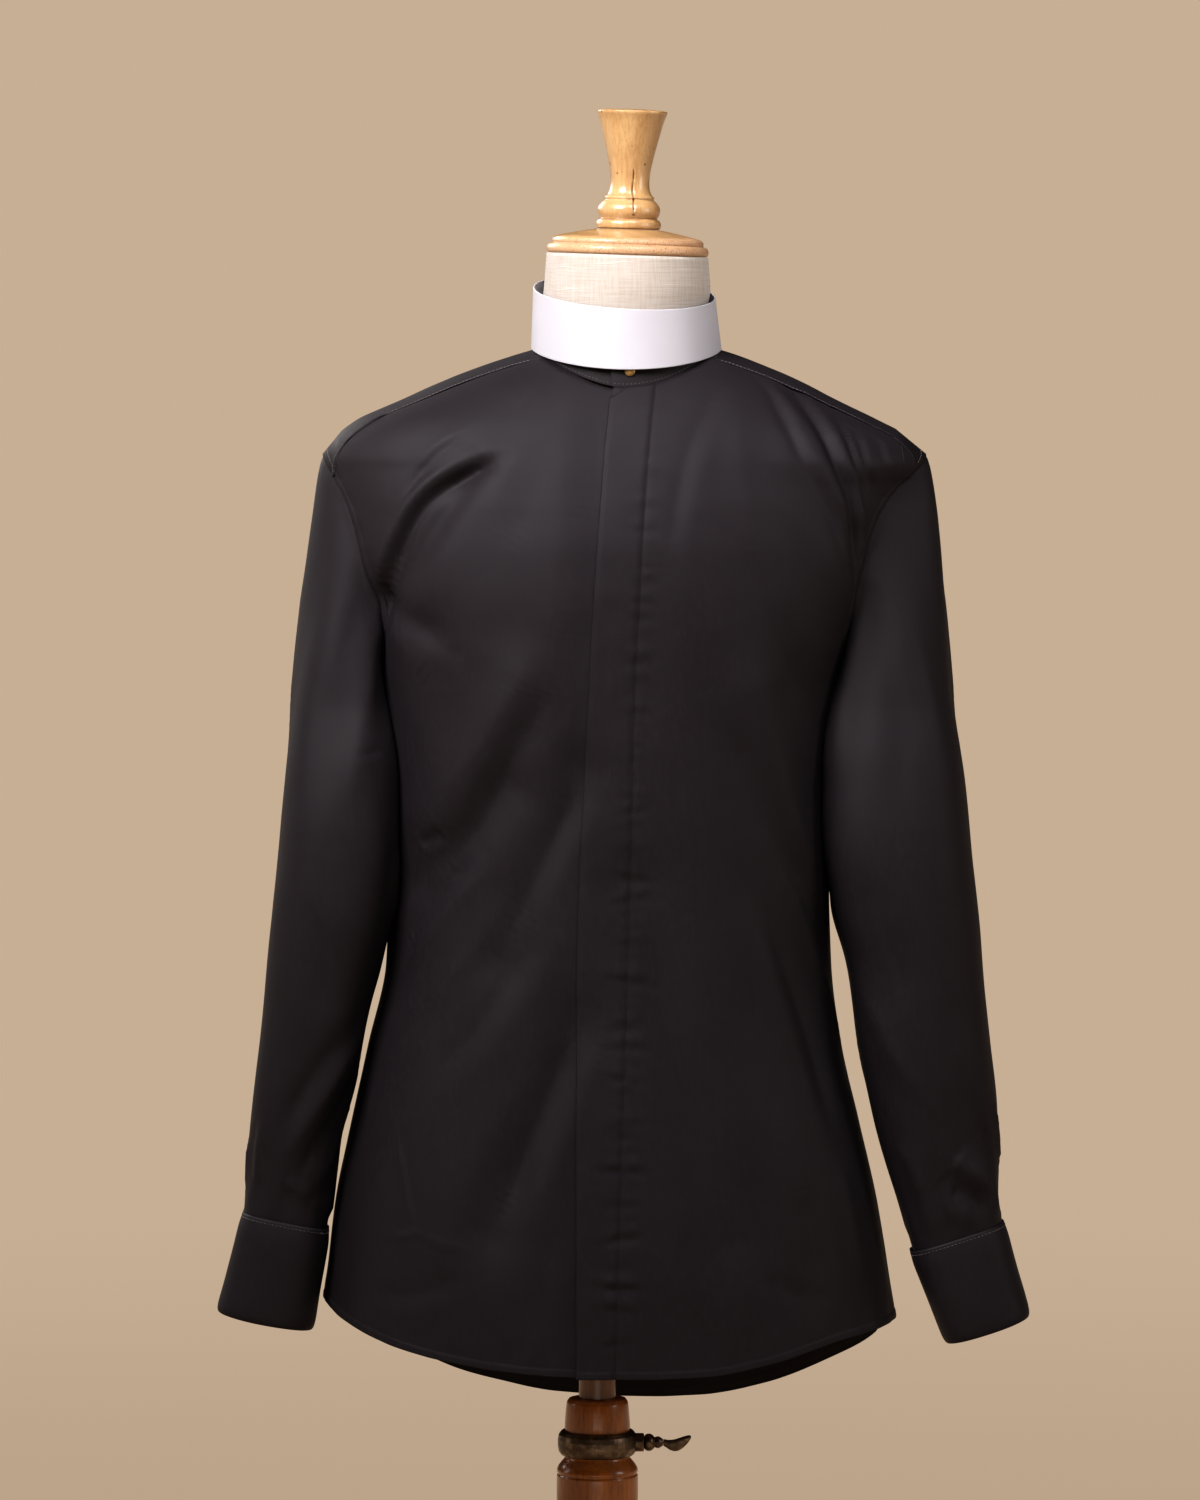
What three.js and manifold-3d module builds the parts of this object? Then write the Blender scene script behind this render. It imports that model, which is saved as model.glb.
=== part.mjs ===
// A clergy shirt on a limbless antique dress form, which stands on a turned wooden stand.
// Millimetres, +Z up. The floor is z = 0 and the stand's axis is x = y = 0. The shirt faces -Y.
// Left and right are the wearer's, so the right side is at -X and the left side at +X.
import * as THREE from "three";
import { mergeVertices } from "three/addons/utils/BufferGeometryUtils.js";
import Module from "manifold-3d";

const wasm = await Module();
wasm.setup();

// ---- driving dimensions ----
const cloth = 1.5; // wall of the shirting
const gap = 0.3; // between pieces at a seam, and between touching parts
const underarm = 1150; // height where the side seam meets the armhole
const seamTop = 1306; // height where the front yoke seam meets the armhole
const backSeam = 1300; // height of the yoke seam across the back
const armhole = { middle: 1236, half: 86, front: 55, back: 60 };
const neck = { x: 21.5, half: 69.8, front: 75, back: 68 };
const neckPoint = THREE.MathUtils.degToRad(60.4); // where the front yoke seam meets the neckline
const domeTop = 1411; // height at which the shoulders would close over the neck
const underlap = 24; // how far the right front runs under the fly
const band = { height: 32, backRise: 4, narrow: 4.3, wall: 1.5 };
const collar = { wall: 1.2, lap: 0.4 };
const poleRadius = 14;
const formBottom = 700;
const poleTop = formBottom + 120;
const neckTop = 1471;
const capLean = THREE.MathUtils.degToRad(2); // the wooden cap and finial lean to the left side
const cupTop = 609;
const clampHeight = 575;
const footRadius = 190;
const footHeight = 46;

// A table is a list of rows under named columns.
function table(columns, rows) {
  return rows.map((row) => Object.fromEntries(columns.map((name, i) => [name, row[i]])));
}

// Sections of the shirt's body, seen from above: where its sides, front and back lie.
const body = table(["z", "right", "left", "front", "back"], [
  [585, -215, 235, 126, 129],
  [642, -210, 229, 126.5, 127],
  [682, -206, 222, 126, 125],
  [729, -200, 215, 125, 121],
  [760, -196, 210, 124, 119],
  [820, -184, 196, 122, 113],
  [881, -171, 182, 120, 108],
  [941, -158, 175, 118.5, 104],
  [1000, -156, 173, 119, 102],
  [1062, -157, 173, 121, 104],
  [1110, -160, 176, 123, 107],
  [1150, -164, 181, 125, 110],
  [1190, -171, 194, 127, 114],
  [1215, -180, 203, 127.5, 116],
  [1250, -194, 216, 125.5, 117],
  [1283, -201, 226, 121, 116.7],
  [1300, -204, 234, 115, 115.5],
  [1318, -206, 247, 108.5, 114],
  [1325, -203.5, 243.5, 105.5, 112.7],
  [1334, -197, 234.5, 101.3, 111.2],
  [1347, -181, 211, 94.3, 107.8],
  [1362, -148, 180, 84.3, 102],
  [1376, -117, 152, 72.7, 94.1],
  [1390, -80, 119.5, 57.4, 81.8],
  [1398, -55, 98, 44.5, 70.5],
  [1405, -28, 70, 31, 53],
  [1411, 21.4, 21.6, 0.1, 0.1],
]);

// Height of the hem across the front and across the longer tail behind.
const hem = table(["x", "front", "back"], [
  [-207, 687, 687],
  [-190, 677, 667],
  [-150, 662, 638],
  [-106, 652.5, 614],
  [-75, 648, 604],
  [-29, 644, 594],
  [33, 642, 590],
  [79, 643.5, 592],
  [126, 651, 603],
  [179, 665, 628],
  [210, 670, 650],
  [223, 672, 672],
]);

// The fly: x of its folded edge and of the line of stitches that holds it.
const fly = table(["z", "edge", "stitch"], [
  [642, -15, 14],
  [776, -15, 18],
  [924, -15, 23],
  [1035, -11.5, 26],
  [1145, -6, 28.5],
  [1218, -2, 32],
  [1277, 2, 35],
  [1328, 6, 39],
  [1376, 11, 44],
]);

// Sections of the sleeves below the armholes. Slope is the rise of a section per mm of x.
const sleeveColumns = ["z", "outer", "inner", "front", "back", "slope"];
const sleeves = {
  right: table(sleeveColumns, [
    [770, -263.5, -199, -57, 25, -0.18],
    [790, -263, -196, -59, 26, -0.15],
    [812, -261, -192.5, -62, 28, -0.12],
    [850, -257.5, -182.5, -67, 31, -0.07],
    [911, -250.5, -169, -74, 36, 0],
    [949, -247, -158, -78, 40, 0],
    [987, -243.5, -149, -82, 43, 0],
    [1040, -238, -146, -83, 47, 0],
    [1090, -233, -150, -78, 52, 0],
    [1135, -229, -157, -68, 60, 0],
  ]),
  left: table(sleeveColumns, [
    [764, 302, 229, -57, 25, 0.27],
    [790, 301, 220, -60, 27, 0.22],
    [828, 300, 208.5, -64, 31, 0.14],
    [881, 295, 196, -70, 35, 0.06],
    [941, 289, 187, -74, 40, 0],
    [983, 285, 178, -78, 43, 0],
    [1043, 279, 172, -80, 47, 0],
    [1090, 274, 174, -76, 52, 0],
    [1135, 267, 179, -67, 60, 0],
  ]),
};

// Double cuffs: the middle of each end, and half its width there.
const cuffs = {
  right: { top: [-234.5, -16, 747.5], bottom: [-250.5, -20, 668], wide: [34, 38], deep: [40, 37] },
  left: { top: [270.5, -16, 735], bottom: [294.5, -20, 661], wide: [37.5, 34], deep: [40, 37] },
};

// The largest folds, as soft troughs (minus) and ridges (plus) between two places on a side.
const folds = table(["side", "x1", "z1", "x2", "z2", "wide", "deep"], [
  [-1, -92, 1316, -158, 1216, 13, -7],
  [-1, -150, 1205, -126, 1196, 14, -3],
  [-1, -60, 1160, -122, 1058, 22, 3],
  [-1, -66, 1075, -128, 1005, 20, -4],
  [-1, -14, 1090, -74, 955, 22, -4],
  [-1, -18, 900, -75, 752, 28, -4],
  [-1, 112, 1385, 190, 1280, 12, 3],
  [-1, 115, 1150, 168, 1000, 20, 3],
  [-1, 30, 1005, 100, 745, 26, -4],
  [1, -120, 1240, -70, 1060, 24, -4],
  [1, 150, 1230, 96, 1070, 22, -4],
  [1, -60, 1020, -100, 760, 28, 5],
  [1, 20, 1030, 12, 720, 26, -4],
  [1, 90, 1000, 140, 740, 28, 5],
]);

// Sections of the dress form's torso and neck.
const torso = table(["z", "right", "left", "front", "back"], [
  [700, -156, 168, 98, 98],
  [708, -165, 177, 106, 105],
  [740, -170, 182, 110, 109],
  [800, -168, 181, 111, 106],
  [870, -158, 173, 110.5, 99],
  [940, -147, 164, 109, 94],
  [1010, -144, 162, 110, 93],
  [1080, -147, 165, 113, 96],
  [1150, -155, 172, 117, 102],
  [1200, -163, 182, 120, 107],
  [1245, -174, 194, 116, 110],
  [1280, -182, 204, 108, 111],
  [1310, -186, 210, 99, 109],
  [1329, -184, 212, 90, 105],
  [1344, -168, 200, 83, 101],
  [1358, -142, 174, 73, 94],
  [1372, -111, 146, 61, 85],
  [1383, -80, 119, 47, 72],
  [1389, -59, 101, 38, 62],
  [1395, -36, 78, 24, 46],
]);

// Sections of its neck.
const neckSections = table(["z", "right", "left", "front", "back"], [
  [1340, -46, 88, 62, 60],
  [1388, -43, 84.5, 64, 58],
  [1434, -41.5, 83.3, 65, 59],
  [1446, -40, 84.6, 65.5, 60],
  [1471, -38, 83, 64, 59],
]);

const lerp = THREE.MathUtils.lerp;
const steps = (count) => Array.from({ length: count + 1 }, (_, i) => i / count);
const smooth = (t) => THREE.MathUtils.smoothstep(t, 0, 1);

// The value of a column at a place, by a curve through the rows that never overshoots them.
function columnAt(rows, place, name, key = "z") {
  const last = rows.length - 1;
  if (place <= rows[0][key]) return rows[0][name];
  if (place >= rows[last][key]) return rows[last][name];
  const i = rows.findIndex((row) => row[key] > place) - 1;
  const slope = (k) => (rows[k + 1][name] - rows[k][name]) / (rows[k + 1][key] - rows[k][key]);
  const tangent = (k) => {
    if (k === 0) return slope(0);
    if (k === last) return slope(last - 1);
    const product = slope(k - 1) * slope(k);
    return product <= 0 ? 0 : (2 * product) / (slope(k - 1) + slope(k));
  };
  const span = rows[i + 1][key] - rows[i][key];
  const t = (place - rows[i][key]) / span;
  const start = rows[i][name] * (1 + 2 * t) * (1 - t) ** 2 + tangent(i) * span * t * (1 - t) ** 2;
  const end = rows[i + 1][name] * t * t * (3 - 2 * t) + tangent(i + 1) * span * t * t * (t - 1);
  return start + end;
}

// ---- the shirt's body as one surface, from which its panels are cut ----

// Roundness of a horizontal section: 2 is an ellipse, and more is squarer.
const roundness = (z) => lerp(2.3, 2, smooth((z - underarm) / 150));
const middleAt = (z) => lerp(9, neck.x, smooth((z - 700) / 620));

function sectionAt(rows, z) {
  return {
    middle: middleAt(z),
    right: columnAt(rows, z, "right"),
    left: columnAt(rows, z, "left"),
    front: columnAt(rows, z, "front"),
    back: columnAt(rows, z, "back"),
    power: roundness(z),
  };
}

function halfWidth(section, side) {
  return side < 0 ? section.middle - section.right : section.left - section.middle;
}

// The point of a section in the direction phi, which is 0 at the front and 90 degrees at the left.
function sectionPoint(section, phi, z) {
  const wide = halfWidth(section, Math.sin(phi));
  const deep = Math.cos(phi) > 0 ? section.front : section.back;
  const across = Math.abs(Math.sin(phi) / wide) ** section.power;
  const along = Math.abs(Math.cos(phi) / deep) ** section.power;
  const radius = (across + along) ** (-1 / section.power);
  return new THREE.Vector3(section.middle + radius * Math.sin(phi), -radius * Math.cos(phi), z);
}

// How far the folds push the cloth out or in at a place on the front (-1) or back (1).
function foldDepth(x, y, z) {
  let depth = 0;
  for (const fold of folds) {
    const run = new THREE.Vector2(fold.x2 - fold.x1, fold.z2 - fold.z1);
    const from = new THREE.Vector2(x - fold.x1, z - fold.z1);
    const t = THREE.MathUtils.clamp(from.dot(run) / run.lengthSq(), 0, 1);
    const away = from.sub(run.multiplyScalar(t)).length() / fold.wide;
    const facing = smooth((y * fold.side - 20) / 40);
    depth += fold.deep * facing * Math.exp(-away * away);
  }
  return depth;
}

// Cloth lies flat where it rests on the shoulders and round the neckline.
const loose = (z) => 1 - smooth((z - 1300) / 60);

function smoothBody(phi, z) {
  return sectionPoint(sectionAt(body, z), phi, z);
}

function outward(surface, phi, z) {
  const step = 0.004;
  const lift = 0.6;
  const round = surface(phi + step, z).sub(surface(phi - step, z));
  const up = surface(phi, z + lift).sub(surface(phi, z - lift));
  return round.cross(up).normalize();
}

// A place on the shirt's body, out (plus) or in (minus) from its outer face.
function bodyPoint(phi, z, out = 0) {
  const place = smoothBody(phi, z);
  const depth = foldDepth(place.x, place.y, z) * loose(z) + out;
  return place.addScaledVector(outward(smoothBody, phi, z), depth);
}

// The x of the body at a given y and height, on one side.
function sideX(y, z, side) {
  const section = sectionAt(body, z);
  const deep = y < 0 ? section.front : section.back;
  const share = Math.min(Math.abs(y) / deep, 1) ** section.power;
  return section.middle + side * halfWidth(section, side) * (1 - share) ** (1 / section.power);
}

const angleTo = (x, y, z) => Math.atan2(x - middleAt(z), -y);

function angleAtX(x, z) {
  const section = sectionAt(body, z);
  const side = x < section.middle ? -1 : 1;
  const share = (Math.abs(x - section.middle) / halfWidth(section, side)) ** section.power;
  return angleTo(x, -section.front * (1 - share) ** (1 / section.power), z);
}

// Halves a range until it is small, keeping the place where the test turns from true to false.
function search(low, high, isBelow) {
  for (let i = 0; i < 40; i += 1) {
    const half = (low + high) / 2;
    if (isBelow(half)) low = half;
    else high = half;
  }
  return (low + high) / 2;
}

// The height of the shoulders at a place seen from above.
function heightOver(x, y) {
  return search(1290, domeTop, (z) => {
    const section = sectionAt(body, z);
    const wide = halfWidth(section, x - section.middle);
    const deep = y < 0 ? section.front : section.back;
    return (Math.abs(x - section.middle) / wide) ** section.power
      + (Math.abs(y) / deep) ** section.power < 1;
  });
}

// ---- seams ----

// Half the depth of the armhole at height z. Grow makes the hole larger for the panels.
function armholeY(z, depth, grow) {
  const share = (z - armhole.middle) / (armhole.half + grow);
  return (depth + grow) * Math.sqrt(Math.max(0, 1 - share * share));
}

function armholePoint(side, psi, grow) {
  const forward = Math.sin(psi) > 0;
  const depth = (forward ? armhole.front : armhole.back) + grow;
  const z = armhole.middle + (armhole.half + grow) * Math.cos(psi);
  const y = -depth * Math.sin(psi);
  return { phi: angleTo(sideX(y, z, side), y, z), z };
}

// Where the panels' rows meet the armhole: up its front, over the shoulder and down its back.
const frontTip = Math.acos((seamTop - armhole.middle) / armhole.half);
const backTip = Math.acos((backSeam - armhole.middle) / armhole.half);
const evenly = (from, to, count) => steps(count).map((t) => lerp(from, to, t));
const frontStations = evenly(Math.PI, frontTip, 6);
const yokeStations = evenly(frontTip, -backTip, 5);
const backStations = evenly(-backTip, -Math.PI, 6);
const stationHeight = (psi, grow) => armhole.middle + (armhole.half + grow) * Math.cos(psi);

const yokeSeamY = (z) => -lerp(32.3, 37.1, (z - seamTop) / 88);

// The edge of a front panel at height z: side seam, armhole, then yoke seam.
function frontEdge(side, z) {
  if (z <= underarm - gap / 2) return side * (Math.PI / 2 - gap / 2 / 170);
  const y = z < seamTop ? -armholeY(z, armhole.front, gap) : yokeSeamY(z) - gap / 2;
  return angleTo(sideX(y, z, side), y, z);
}

function backEdge(side, z) {
  if (z <= underarm - gap / 2) return side * (Math.PI / 2 + gap / 2 / 170);
  const y = armholeY(z, armhole.back, gap);
  return angleTo(sideX(y, z, side), y, z);
}

function hemHeight(phi) {
  const place = sectionPoint(sectionAt(body, 660), phi, 0);
  return columnAt(hem, place.x, place.y < 0 ? "front" : "back", "x");
}

function necklinePlan(theta, grow) {
  const deep = (Math.cos(theta) > 0 ? neck.front : neck.back) + grow;
  return { x: neck.x + (neck.half + grow) * Math.sin(theta), y: -deep * Math.cos(theta) };
}

function outsideNeck(place, grow) {
  const deep = (place.y < 0 ? neck.front : neck.back) + grow;
  return ((place.x - neck.x) / (neck.half + grow)) ** 2 + (place.y / deep) ** 2 > 1;
}

// ---- solids from grids of points ----

// A closed solid between two grids of points. Wrap joins the last column to the first.
function shell(outer, inner, wrap = false) {
  const rows = outer.length;
  const columns = outer[0].length;
  const spots = [...outer.flat(), ...inner.flat()].flatMap((p) => [p.x, p.y, p.z]);
  const index = [];
  const at = (layer, i, j) => layer * rows * columns + i * columns + (j % columns);
  const quad = (a, b, c, d) => index.push(a, b, c, a, c, d);
  const across = wrap ? columns : columns - 1;
  for (let i = 0; i < rows - 1; i += 1) {
    for (let j = 0; j < across; j += 1) {
      quad(at(0, i, j), at(0, i, j + 1), at(0, i + 1, j + 1), at(0, i + 1, j));
      quad(at(1, i, j), at(1, i + 1, j), at(1, i + 1, j + 1), at(1, i, j + 1));
    }
    if (!wrap) {
      quad(at(0, i, 0), at(0, i + 1, 0), at(1, i + 1, 0), at(1, i, 0));
      quad(at(0, i, across), at(1, i, across), at(1, i + 1, across), at(0, i + 1, across));
    }
  }
  for (let j = 0; j < across; j += 1) {
    quad(at(0, 0, j), at(1, 0, j), at(1, 0, j + 1), at(0, 0, j + 1));
    quad(at(0, rows - 1, j), at(0, rows - 1, j + 1), at(1, rows - 1, j + 1), at(1, rows - 1, j));
  }
  return facingOut(geometryOf(spots, index));
}

// A closed solid through stacked rings, with flat ends.
function stack(rings) {
  const count = rings[0].length;
  const spots = rings.flat();
  const index = [];
  rings.slice(1).forEach((ring, i) => {
    for (let j = 0; j < count; j += 1) {
      const next = (j + 1) % count;
      const low = i * count;
      index.push(low + j, low + next, low + count + next, low + j, low + count + next, low + count + j);
    }
  });
  const centre = (ring) => ring.reduce((sum, p) => sum.add(p), new THREE.Vector3()).divideScalar(count);
  spots.push(centre(rings[0]), centre(rings.at(-1)));
  const top = (rings.length - 1) * count;
  for (let j = 0; j < count; j += 1) {
    const next = (j + 1) % count;
    index.push(spots.length - 2, next, j, spots.length - 1, top + j, top + next);
  }
  return facingOut(geometryOf(spots.flatMap((p) => [p.x, p.y, p.z]), index));
}

function geometryOf(spots, index) {
  const geometry = new THREE.BufferGeometry();
  geometry.setAttribute("position", new THREE.Float32BufferAttribute(spots, 3));
  geometry.setIndex(index);
  return geometry;
}

// Turns the faces over where the volume they enclose comes out negative.
function facingOut(geometry) {
  const spot = geometry.getAttribute("position");
  const index = geometry.getIndex().array;
  const corner = (k) => new THREE.Vector3().fromBufferAttribute(spot, index[k]);
  let volume = 0;
  for (let k = 0; k < index.length; k += 3) volume += corner(k).dot(corner(k + 1).cross(corner(k + 2)));
  if (volume < 0) for (let k = 0; k < index.length; k += 3) index.subarray(k, k + 3).reverse();
  return geometry;
}

function toManifold(geometry) {
  const bare = geometry.clone();
  bare.deleteAttribute("normal");
  bare.deleteAttribute("uv");
  const merged = mergeVertices(bare, 1e-4);
  const vertProperties = new Float32Array(merged.getAttribute("position").array);
  const triVerts = new Uint32Array(merged.getIndex().array);
  return new wasm.Manifold(new wasm.Mesh({ numProp: 3, vertProperties, triVerts }));
}

function toGeometry(solid) {
  const mesh = solid.getMesh();
  return geometryOf(Array.from(mesh.vertProperties), Array.from(mesh.triVerts));
}

function cut(geometry, ...cutters) {
  const whole = toManifold(geometry);
  return toGeometry(cutters.reduce((solid, cutter) => solid.subtract(toManifold(cutter)), whole));
}

function join(...parts) {
  return toGeometry(parts.map(toManifold).reduce((sum, part) => sum.add(part)));
}

// ---- the shirt's panels ----

// Shares of the way from the underarm to the neckline at which a front's rows lie.
function frontShares(side) {
  const foot = underarm - gap / 2;
  const rise = neckPointHeight(side) - underarm;
  const beside = frontStations.map((psi) => (stationHeight(psi, gap) - foot) / rise);
  const tip = beside.at(-1);
  return [...beside, ...seamShares.slice(1).map((k) => lerp(tip, 1, k))];
}

const seamShares = [0, 0.3, 0.55, 0.8, 1]; // places along a front yoke seam, from the armhole up

function neckPointHeight(side) {
  const plan = necklinePlan(side * neckPoint, 0);
  return heightOver(plan.x, plan.y);
}

// Columns of places on one front, from its side edge to the fly. Under is how far it runs below it.
function frontColumns(side, under) {
  const flyX = (z, k) => lerp(columnAt(fly, z, "edge"), columnAt(fly, z, "stitch"), k);
  const open = side < 0 ? (z) => columnAt(fly, z, "edge") - 8 : (z) => flyX(z, 1);
  const plain = steps(8).map((s) => (z) => lerp(frontEdge(side, z), angleAtX(open(z), z), s));
  const closing = side < 0
    ? [0.3, 0.65, 1].map((k) => (z) => angleAtX(columnAt(fly, z, "edge") + under * k, z))
    : [0.5, 0].map((k) => (z) => angleAtX(flyX(z, k), z));
  const shares = frontShares(side);
  return [...plain, ...closing].map((angle) => {
    const low = hemHeight(angle(650));
    const top = search(1330, 1404, (z) => outsideNeck(smoothBody(angle(z), z), gap / 2));
    const below = steps(11).slice(0, -1).map((t) => lerp(low, underarm - gap / 2, t));
    const above = shares.map((t) => lerp(underarm - gap / 2, top, t));
    return [...below, ...above].map((z) => ({ z, phi: angle(z) }));
  });
}

// The rows of points of some columns, out from the body by a distance.
function layer(columns, out, dip = () => 0) {
  const place = ({ phi, z }) => bodyPoint(phi, z, out - dip(phi, z));
  return columns[0].map((_, i) => columns.map((column) => place(column[i])));
}

function backPanel() {
  const columns = steps(16).map((s) => {
    const angle = (z) => lerp(backEdge(1, z), 2 * Math.PI + backEdge(-1, z), s);
    const low = hemHeight(angle(650));
    const below = steps(10).slice(0, -1).map((t) => lerp(low, underarm - gap / 2, t));
    const top = backSeam - gap / 2;
    const above = backStations.map((psi) => stationHeight(psi, gap)).reverse();
    return [...below, ...above.slice(0, -1), top].map((z) => ({ z, phi: angle(z) }));
  });
  return shell(layer(columns, 0), layer(columns, -cloth));
}

// The yoke wraps over the shoulders, from the front seams and the neckline to the back seam.
function yokeGrid(out) {
  const low = backSeam + gap;
  const half = (side) => {
    const shoulder = seamShares.map((k) => {
      const z = lerp(seamTop + gap / 2, neckPointHeight(side), k);
      const y = yokeSeamY(z) + gap / 2;
      return { x: sideX(y, z, side), y, z, k: k * 0.6 };
    });
    const round = steps(7).slice(1).map((k) => {
      const plan = necklinePlan(side * lerp(neckPoint, Math.PI, k), gap / 2);
      return { ...plan, z: heightOver(plan.x, plan.y), k: 0.6 + k * 0.4 };
    });
    const tail = armholeY(low, armhole.back, gap);
    return [...shoulder, ...round].map((edge, i) => {
      const endX = lerp(sideX(tail, low, side), middleAt(low), edge.k);
      return steps(5).map((w) => (i === 0 ? yokeEnd(side, w, out) : yokePoint(edge, endX, low, w, out)));
    });
  };
  return [...half(-1), ...half(1).reverse().slice(1)];
}

// The yoke's end lies on the armhole, over the tip of the shoulder.
function yokeEnd(side, w, out) {
  const place = armholePoint(side, lerp(frontTip - 0.003, 0.006 - backTip, w), gap);
  return bodyPoint(place.phi, place.z, out);
}

// A place on the line from one point of the edge, which first swings clear of the neck, to the back seam.
function yokePoint(edge, endX, low, w, out) {
  const x = lerp(edge.x, endX, w ** 0.5);
  const ridge = heightOver(x, 0);
  const crest = heightOver(edge.x, 0);
  const start = Math.sign(edge.y) * Math.sqrt(Math.max(0, crest - edge.z) / (crest - low));
  const v = lerp(start, 1, w);
  const z = Math.min(ridge - (ridge - low) * v * v, ridge - 0.02);
  const section = sectionAt(body, z);
  const wide = halfWidth(section, x - section.middle);
  const share = 1 - (Math.abs(x - section.middle) / wide) ** section.power;
  const deep = v < 0 ? -section.front : section.back;
  return bodyPoint(angleTo(x, deep * Math.max(share, 0) ** (1 / section.power), z), z, out);
}

// The fly lies on the left front, from its folded edge to its line of stitches.
function placketSolid() {
  const columns = frontColumns(1, 0).slice(-3);
  for (const column of columns) column.at(-1).z -= 1.5;
  return shell(layer(columns, gap + 1.2), layer(columns, gap));
}

// ---- sleeves and cuffs ----

// The radius of a rounded oblong in the direction psi.
function oblong(wide, deep, power, psi) {
  const across = Math.abs(Math.cos(psi) / wide) ** power;
  const along = Math.abs(Math.sin(psi) / deep) ** power;
  return (across + along) ** (-1 / power);
}

// A point of a sleeve's section: psi is 0 on the outer side, 90 degrees at the front.
function sleevePoint(side, rows, z, psi) {
  const at = (name) => columnAt(rows, z, name);
  const middle = (at("outer") + at("inner")) / 2;
  const wide = Math.abs(at("outer") - at("inner")) / 2;
  const deep = (at("back") - at("front")) / 2;
  const radius = oblong(wide, deep, 2.5, psi);
  const place = new THREE.Vector3(
    middle + side * radius * Math.cos(psi),
    (at("front") + at("back")) / 2 - radius * Math.sin(psi),
    z,
  );
  place.z += at("slope") * (place.x - middle);
  const nearest = sideX(place.y, place.z, side) + side * clearOfBody;
  if (side * (place.x - nearest) < 0) place.x = nearest;
  return place;
}

const clearOfBody = 4.5; // between the outer faces of the body and a hanging sleeve

function sleeveSolid(side, rows, cuff) {
  const columns = [...frontStations, ...yokeStations.slice(1), ...backStations.slice(1, -1)];
  const first = rows.at(-1).z;
  const ring = (z) => columns.map((psi) => sleevePoint(side, rows, z, psi));
  const start = (out) => columns.map((psi) => {
    const place = armholePoint(side, psi, -gap / 2);
    return bodyPoint(place.phi, place.z, out);
  });
  const seam = start(0);
  const full = ring(first);
  const caps = [0.08, 0.2, 0.34, 0.5, 0.66, 0.82].map((t) => columns.map((psi, j) => {
    const place = seam[j].clone().lerp(full[j], t);
    place.x += side * Math.sin(Math.PI * Math.sqrt(t)) * (2.5 + 1.5 * Math.max(0, Math.cos(psi)));
    return place;
  }));
  const lower = steps(9).slice(1).map((t) => ring(lerp(first, rows[0].z, t)));
  const inCuff = [0, cuffSeam - gap / 60].map((t) => {
    return columns.map((psi) => cuffPoint(side, cuff, t, -2.5, psi));
  });
  const rings = [seam, ...caps, full, ...lower, ...inCuff];
  const inner = rings.map((row, i) => row.map((place, j) => inwardFrom(rings, i, j, side)));
  return shell(rings, [start(-cloth), ...inner.slice(1)], true);
}

// The inner face's point behind one point of a tube made of rings.
function inwardFrom(rings, i, j, side) {
  const count = rings[0].length;
  const round = rings[i][(j + 1) % count].clone().sub(rings[i][(j + count - 1) % count]);
  const above = rings[Math.max(i - 1, 0)][j];
  const down = rings[Math.min(i + 1, rings.length - 1)][j].clone().sub(above);
  const inward = round.cross(down).normalize().multiplyScalar(side * cloth);
  return rings[i][j].clone().add(inward);
}

const cuffSeam = 0.12; // share of the cuff's depth at which the sleeve is sewn in

// A place on a cuff: t runs from its free edge down to its fold, psi as on the sleeve.
function cuffPoint(side, cuff, t, out, psi) {
  const top = new THREE.Vector3(...cuff.top);
  const bottom = new THREE.Vector3(...cuff.bottom);
  const axis = bottom.clone().sub(top).normalize();
  const across = new THREE.Vector3(side, 0, 0).addScaledVector(axis, -side * axis.x).normalize();
  const ahead = new THREE.Vector3(0, -1, 0).addScaledVector(axis, axis.y).normalize();
  const radius = oblong(lerp(...cuff.wide, t) + out, lerp(...cuff.deep, t) + out, 2.4, psi);
  return top.lerp(bottom, t)
    .addScaledVector(across, radius * Math.cos(psi))
    .addScaledVector(ahead, radius * Math.sin(psi));
}

// A double cuff: cloth that goes down inside, turns over and comes back up outside, split behind.
function cuffSolid(side, cuff) {
  const path = table(["outerT", "outer", "innerT", "inner"], [
    [0, 0, 0, -1.5],
    [0.45, 0, 0.45, -1.5],
    [0.96, 0, 0.96, -1.5],
    [1, -1.95, 0.975, -1.95],
    [0.96, -3.9, 0.96, -2.4],
    [0.5, -3.9, 0.5, -2.4],
    [cuffSeam, -3.9, cuffSeam, -2.4],
  ]);
  const slit = THREE.MathUtils.degToRad(250);
  const columns = evenly(slit + 0.04, slit + 2 * Math.PI - 0.04, 18);
  const ring = (t, out) => columns.map((psi) => cuffPoint(side, cuff, t, out, psi));
  const face = (t, out) => path.map((row) => ring(row[t], row[out]));
  return shell(face("outerT", "outer"), face("innerT", "inner"));
}

// ---- neckband, collar and studs ----

// The neckband starts at its front end, goes round the neck and runs under itself.
const bandStart = THREE.MathUtils.degToRad(-9.3);
const bandLap = THREE.MathUtils.degToRad(28);

function bandPoint(turn, rise, out) {
  const theta = bandStart + turn * (2 * Math.PI + bandLap);
  const plan = necklinePlan(theta, -gap);
  const foot = heightOver(plan.x, plan.y) + 2 * gap;
  const tuck = -2.1 * smooth((turn - 0.8) / 0.115);
  const back = (1 - Math.cos(theta)) / 2;
  const tall = band.height + band.backRise * back;
  const edge = necklinePlan(theta, -gap - band.narrow * rise + tuck + out);
  return new THREE.Vector3(edge.x, edge.y, foot + 0.25 * rise + (tall - 0.25) * rise);
}

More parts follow.
